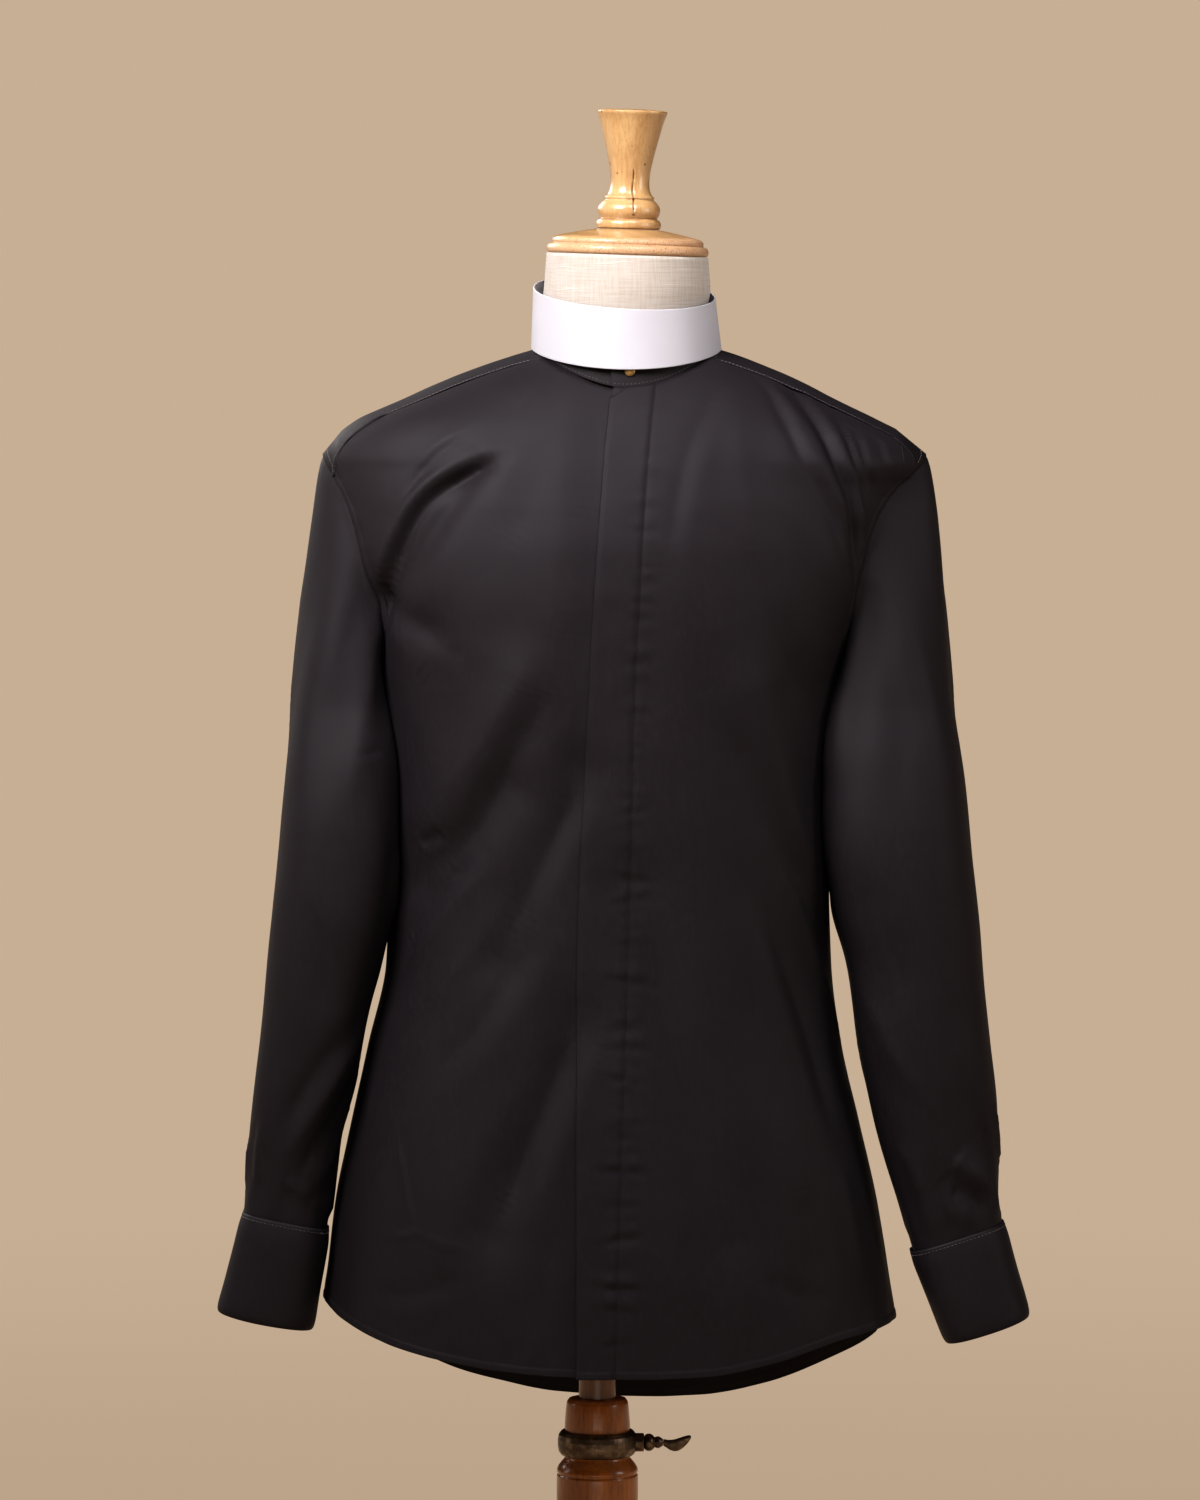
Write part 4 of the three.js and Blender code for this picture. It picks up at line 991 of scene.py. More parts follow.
def tubeNormals(spots, side):
    around = np.roll(spots, -1, axis=1) - np.roll(spots, 1, axis=1)
    return unit(np.cross(around, np.gradient(spots, axis=0)) * -side)


def frontSeed(side):
    return 1 if side > 0 else 3


# How far the body's cloth has moved at the armhole, which the sleeve's head follows.
def armholeOut(side, psi):
    phi, z = armholePoint(side, psi, 0)
    spots, normals = skin(phi, z)
    creases = creaseDepth(spots, normals, allCreases) * np.where(z > shirt["seamTop"], yoke["creased"], 1)
    slow = np.where(np.sin(psi) > 0, unevenness(spots, frontSeed(side)), unevenness(spots, 5))
    return broadDepth(spots) + creases + slow


# A place on a sleeve's grid, by the angle round the sleeve and the height.
def sleeveSpot(spots, psi, z):
    count = spots.shape[1]
    at = (psi / (2 * math.pi) * count) % count
    left = int(at)
    columns = [spots[::-1, column % count] for column in (left, left + 1)]
    return mix(*(pointAt(z, rows[:, 2], rows) for rows in columns), at - left)


# The sleeve's rows: tucked in at the armhole, over the cap, down the arm and into the cuff.
def sleeveGrid(arm, psi):
    side, rows = arm["side"], arm["rows"]
    full = sleevePoint(arm, np.full(len(psi), rows[-1, 0]), psi)
    moved = armholeOut(side, psi)[:, None]
    rim = []
    for inside, sunk in ((-4.0, 1.5), (-1.6, 1.0), (-0.1, 0.5)):
        flat, normal = skin(*armholePoint(side, psi, inside))
        rim.append(flat + normal * (moved - sunk))
    t = np.concatenate([[0.006, 0.014, 0.026], np.linspace(0.04, 1, sleeve["capRows"])])[:, None]
    bulge = sleeve["bulge"] + sleeve["outerBulge"] * np.maximum(0, np.cos(psi))
    caps = mix(flat - 0.5 * normal, full, t[..., None])
    caps += normal * moved * np.exp(-(t / 0.22) ** 2)[..., None]
    caps[..., 0] += side * np.sin(math.pi * np.sqrt(t)) * bulge
    heights = np.linspace(rows[-1, 0], rows[0, 0], sleeve["armRows"])[1:]
    lower = [sleevePoint(arm, np.full(len(psi), z), psi) for z in heights]
    inCuff = [cuffPoint(arm, np.full(len(psi), share), -2.5, psi) for share in np.linspace(0, 0.12, 4)]
    spots = np.concatenate([rim, caps, lower, inCuff])
    soften(spots[4:-2], 10)  # the joins between the cap, the arm and the cuff
    return spots


# Where the arm hangs against the body, it gives way to the body's folds.
def giveWay(spots, side):
    beside = np.flatnonzero(spots[:, :, 2].max(1) < sleeve["giveFrom"])
    low = spots[beside]
    bodyX = sideX(low[..., 1], low[..., 2], side)
    phi = angleTo(bodyX, low[..., 1], low[..., 2])
    moved = clothOut(phi, low[..., 2], frontSeed(side)) * np.abs(skinNormal(phi, low[..., 2])[..., 0])
    least = side * bodyX + moved + 0.7
    kept = side * (least + easedRoom(side * low[..., 0] - least, 2))
    low[..., 0] = mix(low[..., 0], kept, smooth((sleeve["giveFrom"] - low[..., 2]) / 30))
    spots[beside] = low


def makeSleeve(name, arm, creases, seed):
    side = arm["side"]
    psi = np.linspace(0, 2 * math.pi, sleeve["around"], endpoint=False)
    spots = sleeveGrid(arm, psi)
    normals = tubeNormals(spots, side)
    lines = []
    for places, wide, deep, roll in creases:
        line = softLine([(angle / 2, z) for angle, z in places])
        line = np.array([sleeveSpot(spots[3:], math.radians(angle * 2), z) for angle, z in line])
        lines.append((soften(line, 2), wide, deep, roll))
    out = creaseDepth(spots, normals, lines) + unevenness(spots, seed, *sleeve["uneven"])
    run = reachOf(spots)
    run -= run[2]
    toCuff = run[-4:-3] - run
    around = np.broadcast_to(psi * sleeve["aroundRadius"], run.shape)
    ease = smooth((run - 1) / 10) * smooth((toCuff + 2) / 10)
    out = np.where(np.cos(psi) < -0.35, np.minimum(out, 1.5), out) * ease
    out += pucker(run - 3, around, seed + 30, 0.35, 6, 8) * smooth((run - 0.5) / 3)
    # gathers above the cuff
    wave = noiseOver(np.cos(psi) * 3.4, np.sin(psi) * 3.4, seed * 5.5)
    reach = np.exp(-(np.maximum(toCuff, 0) / sleeve["gatherReach"]) ** 2) * smooth(toCuff / 5)
    out += sleeve["gathers"] * wave * reach
    spots = spots + normals * out[..., None]
    # the underarm seam
    near = np.abs(np.angle(np.exp(1j * (psi - sleeve["seamAngle"])))) * sleeve["aroundRadius"]
    spots = spots - normals * (sleeve["seamDeep"] * np.exp(-(near / 1.6) ** 2) * ease)[..., None]
    giveWay(spots, side)
    return clothPiece(name, spots, wrap=True, turned=side < 0)


# A double cuff: down inside, over at its fold and back up outside, with its two ends free behind.
cuff = {
    "path": [  # share of the way down, and how far out
        (0, 0), (0.012, 0.18), (0.05, 0.25), (0.25, 0.1), (0.5, 0), (0.75, 0.05), (0.93, 0.1),
        (0.975, -0.25), (0.995, -1.0), (1, -1.95), (0.995, -2.9), (0.975, -3.6), (0.9, -3.9),
        (0.5, -3.9), (0.12, -3.9),
    ],
    "long": 84,
    "radius": 37,
    "power": 3.1,  # squareness of its section
    "slit": math.radians(250),
    "around": 92,
    "cloth": 1.2,
    "stitched": 3.2,
    "bend": 1.1,
    "ripple": 0.8,  # of its upper edge
    "standOff": 0.9,
    "flare": 1.6,  # of its two ends
    "droop": 2.2,
}


def makeCuff(name, arm, seed):
    long = cuff["long"]
    t, out = (softLine([(share * long, off) for share, off in cuff["path"]], 2.2) / (long, 1)).T
    psi = np.linspace(cuff["slit"] + 0.02, cuff["slit"] + 2 * math.pi - 0.02, cuff["around"])
    spots = np.array([cuffPoint(arm, np.full(len(psi), a), b, psi) for a, b in zip(t, out)])
    around = psi * cuff["radius"]
    lip = np.exp(-(t / 0.1) ** 2)
    wave = noiseOver(around / 26, seed * 3.3, 0)
    bend = noiseOver(around / 38, t[:, None] * 1.6, seed * 7.1)
    normals = tubeNormals(spots, arm["side"])
    normals[:, 0], normals[:, -1] = normals[:, 1], normals[:, -2]
    end = np.minimum(around - around[0], around[-1] - around)
    move = cuff["bend"] * bend * smooth((out + 3.9) / 3)[:, None]
    move = move + (cuff["ripple"] * wave + cuff["standOff"]) * lip[:, None] * (out > -2)[:, None]
    move = move + cuff["flare"] * (1 - smooth(end / 16)) * smooth((out + 3.0) / 3)[:, None]
    spots = spots + normals * move[..., None] * np.where(out > -3.5, 1, 0.2)[:, None, None]
    # the fold hangs a little lower on one side
    drop = cuff["droop"] * noise.noise(Vector((seed, 0.3, 0.7)))
    spots[..., 2] += (drop * np.sin(psi + 0.6) + 1.2 * np.cos(2 * psi)) * t[:, None] ** 2
    piece = clothPiece(name, spots, turned=arm["side"] < 0, wall=cuff["cloth"])
    down = np.broadcast_to((t * long)[:, None], spots.shape[:2])
    outside = slice(0, int(np.argmax(t > 0.93)))
    stitchColumns(spots, normals, down, cuff["stitched"], outside)
    return piece


sleeveRightPiece = makeSleeve("sleeveRightTube", sleeveRight, rightSleeveCreases, 13)
sleeveLeftPiece = makeSleeve("sleeveLeftTube", sleeveLeft, leftSleeveCreases, 17)
cuffRightPiece = makeCuff("cuffRightFold", sleeveRight, 3)
cuffLeftPiece = makeCuff("cuffLeftFold", sleeveLeft, 5)
print("sleeves made")

neckband = {
    "height": 32,
    "backRise": 4,
    "narrow": 4.3,
    "wall": 1.5,
    "start": math.radians(-9.3),
    "lap": math.radians(28),
    "rises": [0, 0.015, 0.04, 0.08, 0.13, 0.2, 0.3, 0.42, 0.55, 0.7, 0.85, 0.97, 1],
}
whiteCollar = {
    "wall": 1.2,
    "lap": 0.4,
    "lapAngle": math.radians(10),
    "rises": [0, 0.012, 0.03, 0.06, 0.1, 0.2, 0.35, 0.5, 0.65, 0.8, 0.9, 0.94, 0.97, 0.988, 1],
}


# A band up its outer face and down its inner one, with round edges that stand out by a share of its
# height. Its two ends are closed.
def bandPiece(name, face, turns, band, edge):
    wall, rises = band["wall"], band["rises"]
    rim = np.linspace(0, math.pi, 7)[1:-1]
    profile = [(rise, 0.0) for rise in rises]
    profile += [(1 + 0.5 * math.sin(a) * edge, -wall * (1 - math.cos(a)) / 2) for a in rim]
    profile += [(rise, -wall) for rise in rises[::-1]]
    profile += [(-0.5 * math.sin(a) * edge, -wall * (1 + math.cos(a)) / 2) for a in rim]
    spots = np.array([face(turns, level, out) for level, out in profile])
    rows, columns = spots.shape[:2]
    last = (rows - 1) * columns
    faces = gridFaces(rows, columns)
    faces += [[last + j, last + j + 1, j + 1, j] for j in range(columns - 1)]
    faces.append([i * columns for i in range(rows)])
    faces.append([i * columns + columns - 1 for i in range(rows)][::-1])
    return meshFrom(name, spots, faces, runsOf(spots)), spots


def neckbandFace(turn, rise, out):
    theta = neckband["start"] + turn * (2 * math.pi + neckband["lap"])
    x, y = neckline(theta, -0.3)
    foot = heightOver(x, y) + 0.1
    tuck = -2.1 * smooth((turn - 0.8) / 0.115)
    tall = neckband["height"] + neckband["backRise"] * (1 - np.cos(theta)) / 2
    # the front end stands off a little and droops
    free = np.exp(-(turn * 430 / 9) ** 2)
    x, y = neckline(theta, -0.3 - neckband["narrow"] * rise + tuck + out + 0.7 * free)
    wave = 0.35 * np.sin(theta * 7 + 1) * np.sin(theta * 3) * (1 - rise)
    return np.stack([x, y, foot + tall * rise + wave * (1 - free)], -1)


def collarFace(turn, level, out):
    theta = mix(-math.pi - whiteCollar["lapAngle"], math.pi + whiteCollar["lapAngle"], turn)
    sine, cosine = np.sin(theta), np.cos(theta)
    tuck = -(whiteCollar["wall"] + whiteCollar["lap"]) * (1 - smooth((turn - 0.06) / 0.12))
    ease = 0.25 * np.sin(theta * 2 + 0.7) + 0.2 * np.sin(theta * 5)
    wide = mix(71.5, 68.4, level) + tuck + out + ease
    deep = mix(np.where(cosine > 0, 77.6, 71.6), np.where(cosine > 0, 73, 67.5), level) + tuck + out + ease
    low = 1401.6 - 14.5 * cosine * np.abs(cosine) ** 0.3 - 0.5 * sine
    high = 1443 - 12 * cosine - 4 * sine
    return np.stack([mix(shirt["neckX"], 20, level) + wide * sine, -deep * cosine, mix(low, high, level)], -1)


def makeNeckband():
    turns = np.concatenate([[0, 0.002, 0.005, 0.009], np.linspace(0.014, 1, 190)])
    piece, spots = bandPiece("neckbandStrip", neckbandFace, turns, neckband, 0.03)
    facing = unit(np.cross(np.gradient(spots[4], axis=0), spots[5] - spots[4]))
    stitchLines.append((mix(spots[2], spots[3], 0.6), facing))
    return piece


neckbandPiece = makeNeckband()
collarPiece, _ = bandPiece("whiteCollarBand", collarFace, np.linspace(0, 1, 260), whiteCollar, 0.022)
print("neckband and collar made")

stitch = {"long": 2.1, "pitch": 3.0, "wide": 0.5, "high": 0.34, "sunk": 0.25}
# A stitch has two ends, two sides and two places on top.
stitchFaces = ((0, 2, 4), (2, 5, 4), (2, 1, 5), (0, 4, 3), (4, 5, 3), (5, 1, 3), (0, 3, 2), (3, 1, 2))


def makeStitches(lines):
    spots, faces = [], []
    for line, facing in lines:
        reach = reachOf(line)
        for at in np.arange(stitch["pitch"], reach[-1] - stitch["pitch"], stitch["pitch"]):
            half = stitch["long"] / 2
            start, middle, end = (pointAt(at + s * half, reach, line) for s in (-1, 0, 1))
            if np.linalg.norm(end - start) < 0.4 * stitch["long"]:
                continue
            out = unit(pointAt(at, reach, facing))
            across = np.cross(unit(end - start), out) * stitch["wide"] / 2
            top, low = out * stitch["high"], -out * stitch["sunk"]
            faces += [[len(spots) + k for k in face] for face in stitchFaces]
            spots += [start + low, end + low, middle + across + low, middle - across + low,
                      mix(start, middle, 0.4) + top, mix(end, middle, 0.4) + top]
    return meshFrom("topstitching", np.array(spots), faces)


topstitching = makeStitches(stitchLines)
print("stitches made:", len(topstitching.data.polygons) // len(stitchFaces))

# The form: sections of the torso and of its neck, then the wooden cap and finial on top.
form = {
    "torso": np.array([
        (700, -156, 168, 98, 98), (708, -165, 177, 106, 105), (740, -170, 182, 110, 109),
        (800, -168, 181, 111, 106), (870, -158, 173, 110.5, 99), (940, -147, 164, 109, 94),
        (1010, -144, 162, 110, 93), (1080, -147, 165, 113, 96), (1150, -155, 172, 117, 102),
        (1200, -163, 182, 120, 107), (1245, -174, 194, 116, 110), (1280, -182, 204, 108, 111),
        (1310, -186, 210, 99, 109), (1329, -184, 212, 90, 105), (1344, -168, 200, 83, 101),
        (1358, -142, 174, 73, 94), (1372, -111, 146, 61, 85), (1383, -80, 119, 47, 72),
        (1389, -59, 101, 38, 62), (1395, -36, 78, 24, 46),
    ], float),
    "neck": np.array([
        (1340, -46, 88, 62, 60), (1388, -43, 84.5, 64, 58), (1434, -41.5, 83.3, 65, 59),
        (1446, -40, 84.6, 65.5, 60), (1471, -38, 83, 64, 59),
    ], float),
    "around": 128,
    "socket": 14.6,
    "socketTop": 820.3,
    "capPlace": (22.5, -2.5, 1471.3),
    "lean": math.radians(2),
}


def formRadius(rows, phi, z):
    return ovalRadius(phi, *sectionAt(z, rows)[1:])


def makeForm():
    phi = np.linspace(0, 2 * math.pi, form["around"], endpoint=False)
    blend = 3.0  # how softly the neck runs into the shoulders
    heights = np.concatenate([[700, 701.5, 704, 708], np.linspace(716, 1330, 60), np.linspace(1336, 1400, 40),
                              np.linspace(1404, 1471, 26)])
    rings = []
    for z in heights:
        torsoAt = formRadius(form["torso"], phi, min(z, 1395.0)) * (1 if z <= 1395 else 0.5)
        neckAt = formRadius(form["neck"], phi, max(z, 1340.0)) * (1 if z >= 1340 else 0.5)
        radius = blend * np.log(np.exp((torsoAt - 150) / blend) + np.exp((neckAt - 150) / blend)) + 150
        x, y = middleAt(z) + radius * np.sin(phi), -radius * np.cos(phi)
        lean = math.tan(form["lean"]) * (x - form["capPlace"][0]) * smooth((z - 1425) / 46)
        rings.append(np.stack([x, y, z - lean], -1))
    ring = np.stack([form["socket"] * np.sin(phi), -form["socket"] * np.cos(phi), 0 * phi], -1)
    socket = ring + (0, 0, heights[0])
    deep = [ring + (0, 0, form["socketTop"]), socket + (0, 0, 1.5), socket]
    under = [mix(rings[0], socket, t) for t in (0.98, 0.8, 0.5, 0.2, 0.02)]
    top = rings[-1]
    crown = [mix(top, top.mean(axis=0), t) for t in (0.012, 0.03, 0.3, 0.7)]
    spots = np.stack(deep + under + rings + crown)
    rows, columns = spots.shape[:2]
    faces = gridFaces(rows, columns, wrap=True)
    faces.append(list(range(columns))[::-1])
    faces.append([(rows - 1) * columns + k for k in range(columns)])
    return meshFrom("formBody", spots, faces, runsOf(spots))


formBody = makeForm()


# Draws out one ring of edges or faces after another. A row of the table is a height and a radius.
def drawOut(extrude, low, before, high, after):
    extrude(TRANSFORM_OT_translate={"value": (0, 0, (high - low) * mm)})
    share = after / before
    bpy.ops.transform.resize(value=(share, share, 1), center_override=(0, 0, high * mm))


def circleAt(name, radius, height, sides, fill):
    bpy.ops.object.select_all(action="DESELECT")
    bpy.ops.mesh.primitive_circle_add(vertices=sides, radius=radius * mm, fill_type=fill,
                                      location=(0, 0, height * mm))
    bpy.ops.object.transform_apply(location=True, rotation=True, scale=True)
    piece = bpy.context.object
    piece.name = piece.data.name = name
    bpy.ops.object.mode_set(mode="EDIT")
    bpy.ops.mesh.select_all(action="SELECT")
    return piece


# A round piece grown ring by ring along z. A ring is its height, radius and crease.
def ringPiece(name, rings, sides=48):
    start, radius, crease = rings[0]
    piece = circleAt(name, radius, start, sides, "NGON")
    bpy.ops.transform.edge_crease(value=crease)
    for (low, before, _), (high, after, crease) in zip(rings, rings[1:]):
        drawOut(bpy.ops.mesh.extrude_region_move, low, before, high, after)
        bpy.ops.transform.edge_crease(value=-1)
        bpy.ops.transform.edge_crease(value=crease)
    bpy.ops.mesh.select_all(action="SELECT")
    bpy.ops.mesh.normals_make_consistent(inside=False)
    bpy.ops.object.mode_set(mode="OBJECT")
    modifierOn(piece, "SUBSURF", levels=2, render_levels=2)
    bpy.ops.object.shade_smooth()
    return piece


# Moves and turns a finished piece, and leaves it unturned at the origin with its mesh in place.
def settle(piece, at=(0, 0, 0), turn=(0, 0, 0)):
    pick(piece)
    piece.location = Vector(at) * mm
    piece.rotation_euler = turn
    bpy.ops.object.transform_apply(location=True, rotation=True, scale=True)
    return piece


neckCap = ringPiece("neckCap", [
    (0, 52, 0), (0, 58.6, 0.7), (0.7, 60.2, 0.2), (2.6, 60.9, 0), (5, 60.6, 0.1), (6.6, 59.4, 0.5),
    (7.2, 57.6, 0.8), (7.7, 56.4, 0.8), (8.6, 56.9, 0.2), (10.4, 56.8, 0), (12, 55.6, 0.2),
    (13.1, 53.2, 0.3), (14.6, 46.4, 0), (17.4, 33.4, 0), (18.7, 25.5, 0), (19, 23, 0.3), (19, 12, 0),
], 56)
settle(neckCap, form["capPlace"], (0, form["lean"], 0))

finial = ringPiece("turnedFinial", [
    (19.3, 10, 0), (19.3, 22.4, 0.7), (19.9, 23.9, 0.3), (21.6, 24.5, 0), (24.4, 24.3, 0),
    (26.2, 22.9, 0.3), (27, 21.2, 0.7), (28.4, 21.9, 0.3), (30.6, 23.3, 0), (33.8, 23.6, 0),
    (37, 22.6, 0), (39.6, 20.2, 0.1), (41, 18.2, 0.6), (42.2, 18.7, 0.4), (43.2, 18.6, 0.3),
    (44.6, 16.8, 0.3), (47.4, 15.2, 0), (52, 14.5, 0), (58, 14.5, 0), (66, 15.7, 0), (75, 17.7, 0),
    (84, 19.9, 0), (93, 22.2, 0), (100, 24.1, 0), (104, 25.6, 0), (105.8, 26.3, 0.2), (107, 26.2, 0.6),
    (107.7, 25, 0.5), (108.1, 19, 0), (108.4, 12, 0), (108.6, 5, 0),
], 40)


# The drying crack: a row of the finial's vertices is drawn in towards its axis.
crack = {"turn": math.radians(9), "wander": 0.02, "low": 29, "high": 63, "wide": 0.42, "deep": 0.84}


def openCrack():
    pick(finial)
    bpy.ops.object.mode_set(mode="EDIT")
    bpy.ops.mesh.select_mode(type="VERT")
    bpy.ops.mesh.select_all(action="DESELECT")
    bpy.ops.object.mode_set(mode="OBJECT")
    for vertex in finial.data.vertices:
        x, y, z = vertex.co / mm
        turn = math.atan2(x, -y) - crack["turn"] - crack["wander"] * math.sin(z * 0.35)
        vertex.select = crack["low"] < z < crack["high"] and abs(turn) * math.hypot(x, y) < crack["wide"]
    bpy.ops.object.mode_set(mode="EDIT")
    bpy.ops.transform.resize(value=(crack["deep"], crack["deep"], 1), center_override=(0, 0, 0))
    bpy.ops.object.mode_set(mode="OBJECT")


openCrack()
settle(finial, form["capPlace"], (0, form["lean"], 0))
print("form made")

# The stand: a turned foot and column, a pole that slides in it, and a bronze clamp.
stand = {"pole": 14.03, "poleEnd": 12.6, "poleLow": 260, "poleHigh": 820, "clamp": 575}

pole = ringPiece("standPole", [
    (stand["poleLow"], stand["poleEnd"], 0.6), (stand["poleLow"] + 1.4, stand["pole"], 0.5),
    (400, stand["pole"], 0), (540, stand["pole"], 0), (680, stand["pole"], 0),
    (stand["poleHigh"] - 1.4, stand["pole"], 0.5), (stand["poleHigh"], stand["poleEnd"], 0.6),
], 40)

column = ringPiece("standColumn", [
    (20, 15.4, 0.6), (21.4, 17, 0.6), (46.3, 17, 0.9), (46.3, 36, 0.8), (47.6, 37.5, 0.3), (52, 38.7, 0),
    (57.6, 38.7, 0), (60.4, 36.8, 0.2), (62.2, 34.4, 0.2), (64.4, 31.6, 0.6), (67, 32.3, 0.2),
    (70.6, 33.7, 0), (75, 33.7, 0), (79.4, 32.3, 0.2), (82, 31.3, 0.6), (88, 30.9, 0.2), (96, 30.8, 0),
    (200, 30.8, 0), (320, 30.8, 0), (440, 30.8, 0), (520, 30.9, 0), (548.5, 31, 0.2), (550.6, 30.8, 0.5),
    (551.6, 30, 0.8), (552.6, 30, 0.8), (553.4, 30.9, 0.5), (555.4, 30.8, 0.2), (558.4, 29.2, 0),
    (562, 26, 0), (564, 24.6, 0.3), (567, 24.3, 0), (583, 24.3, 0), (585.6, 24.7, 0.2), (588, 24.9, 0),
    (594, 24.5, 0), (602, 23.9, 0), (606.4, 23.1, 0.5), (608.7, 21.5, 0.5), (609.4, 18, 0.2),
    (609.5, 15.2, 0.5), (608.6, 14.45, 0.6), (600, 14.4, 0), (400, 14.4, 0), (172, 14.4, 0.6),
    (170, 13, 0.4),
], 36)

foot = ringPiece("standFoot", [
    (0, 176, 0), (0, 185, 0.7), (1.6, 188.6, 0.1), (5, 190.2, 0), (13, 190.2, 0), (16.4, 188.4, 0.1),
    (19, 184.6, 0.3), (20.2, 180.4, 0.6), (21.2, 176.2, 0.5), (22.4, 168, 0), (25, 150, 0),
    (28.2, 122, 0), (31.4, 96, 0), (35, 76, 0), (39, 62, 0), (41.2, 55.4, 0.4), (43.6, 53.6, 0.2),
    (45.4, 50, 0.1), (46, 46, 0.2), (46, 22, 0.4), (45.4, 17.4, 0.8), (22, 17.4, 0.8), (19.7, 16.8, 0.8),
    (19.7, 4, 0),
], 48)

# The clamp's ring is open, so it is grown as a tube and closed on itself. Its outline is height and radius.
ring = {
    "inside": 24.7,
    "half": 9.4,
    "outline": [(-9.4, 26.4), (-8.6, 27.6), (-6.4, 29.2), (-2.6, 29.9), (2.6, 29.9), (6.4, 29.2),
                (8.6, 27.6), (9.4, 26.4)],
    "boss": (7, 8.5, 31.2, 40),  # radius, length, x and sides
    "bore": (3.4, 30, 34, 32),
}


def sidewaysCylinder(radius, long, x, sides):
    bpy.ops.object.select_all(action="DESELECT")
    bpy.ops.mesh.primitive_cylinder_add(vertices=sides, radius=radius * mm, depth=long * mm,
                                        location=(x * mm, 0, 0), rotation=(0, math.pi / 2, 0))
    return bpy.context.object


def combine(piece, tool, operation):
    modifierOn(piece, "BOOLEAN", operation=operation, object=tool, solver="EXACT")
    bpy.data.objects.remove(tool)


def makeRing():
    half, inside = ring["half"], ring["inside"]
    piece = circleAt("clampRing", inside, 0, 56, "NOTHING")
    bpy.ops.transform.translate(value=(0, 0, -half * mm))
    rows = [(-half, inside)] + ring["outline"] + [(half, inside), (0, inside), (-half, inside)]
    for (low, before), (high, after) in zip(rows, rows[1:]):
        drawOut(bpy.ops.mesh.extrude_edges_move, low, before, high, after)
    bpy.ops.mesh.select_all(action="SELECT")
    bpy.ops.mesh.remove_doubles(threshold=0.01 * mm)
    bpy.ops.mesh.normals_make_consistent(inside=False)
    bpy.ops.object.mode_set(mode="OBJECT")
    boss = sidewaysCylinder(*ring["boss"])
    modifierOn(boss, "BEVEL", width=1.3 * mm, segments=3, limit_method="ANGLE", angle_limit=0.8)
    combine(piece, boss, "UNION")
    combine(piece, sidewaysCylinder(*ring["bore"]), "DIFFERENCE")
    return settle(piece, (0, 0, stand["clamp"]))


clampRing = makeRing()

# The screw's beads and its end, drawn upright: height, radius and crease.
screwEnd = [(49.6, 2.4, 0.1), (51, 2.3, 0), (54, 2.6, 0), (57, 3.2, 0), (60, 3.6, 0), (63.4, 3.4, 0),
            (66.6, 2.8, 0), (69.4, 1.8, 0), (71, 0.8, 0)]
clampScrew = ringPiece("clampScrew", [
    (14.4, 2.4, 0.5), (15, 3, 0.5), (26, 3, 0), (35.2, 3, 0.5), (35.6, 5, 0.2), (36.6, 6.3, 0), (39.4, 7, 0),
    (42, 5.8, 0), (43.2, 3.8, 0.3), (44.2, 4.2, 0.2), (46, 4.9, 0), (48.2, 3.6, 0),
] + screwEnd, 20)

# The end beyond the beads is flattened into a spoon: place along it, side, half width, half thickness.
spoon = np.array([(49.6, 0, 2.5, 2.3), (52, -0.9, 3.0, 2.1), (55, -2.0, 3.9, 1.8), (58, -2.3, 4.6, 1.6),
                  (61, -1.7, 4.9, 1.5), (64, -0.4, 4.6, 1.5), (67, 1.4, 3.7, 1.4), (69.6, 3.2, 2.3, 1.3),
                  (71, 4.2, 0.9, 1.1)], float)


def flattenSpoon():
    heights, radii, _ = zip(*screwEnd)
    for vertex in clampScrew.data.vertices:
        x, y, z = vertex.co / mm
        if z > spoon[0, 0] + 0.05:  # the ring of vertices right at its start stays round
            share = min(max(math.hypot(x, y), 1e-6) / np.interp(z, heights, radii), 1.05)
            side, wide, thick = (float(along(spoon, z, column)) for column in (1, 2, 3))
            angle = math.atan2(y, x)
            place = (-(side + share * wide * math.cos(angle)), share * thick * math.sin(angle), z)
            vertex.co = Vector(place) * mm


flattenSpoon()
settle(clampScrew, (0, 0, stand["clamp"]), (0, math.pi / 2, 0))


# A stud's inner head, its shank and its outer head, grown along z.
def makeStud(name, head, shank, place, turn):
    rings = [(-shank - 0.7, 3.4, 0.4), (-shank - 0.6, 4, 0.4), (-shank, 4, 0.5), (-shank, 1.25, 0.8),
             (-0.02, 1.25, 0.8), (0, head * 0.94, 0.7), (0.35, head, 0.2), (0.9, head * 0.95, 0),
             (1.4, head * 0.62, 0), (1.68, 1, 0)]
    return settle(ringPiece(name, rings, 24), place, (turn, 0, 0))


studFront = makeStud("collarStudFront", 4, 6.1, (24, -73.9, 1385.5), math.pi / 2)
studBack = makeStud("collarStudBack", 4.2, 9.9, (21.5, 71.8, 1421), -math.pi / 2)
print("stand made")


class Wire:
    def __init__(self, shader, socket):
        self.shader, self.socket = shader, socket

    def maths(self, kind, *others):
        return self.shader.node("Math", {"operation": kind}, dict(enumerate((self, *others))))

    def __add__(self, other):
        return self.maths("ADD", other)

    def __sub__(self, other):
        return self.maths("SUBTRACT", other)

    def __mul__(self, other):
        return self.maths("MULTIPLY", other)

    def between(self, low, high, start=0.0, end=1.0):
        settings = {"interpolation_type": "SMOOTHSTEP", "clamp": True}
        inputs = {"Value": self, "From Min": low, "From Max": high, "To Min": start, "To Max": end}
        return self.shader.node("MapRange", settings, inputs)

    def split(self):
        node = self.shader.node("SeparateXYZ", {}, {0: self}).socket.node
        return [Wire(self.shader, socket) for socket in node.outputs]

    def scaled(self, by):
        return self.shader.node("VectorMath", {"operation": "MULTIPLY"}, {0: self, 1: by})


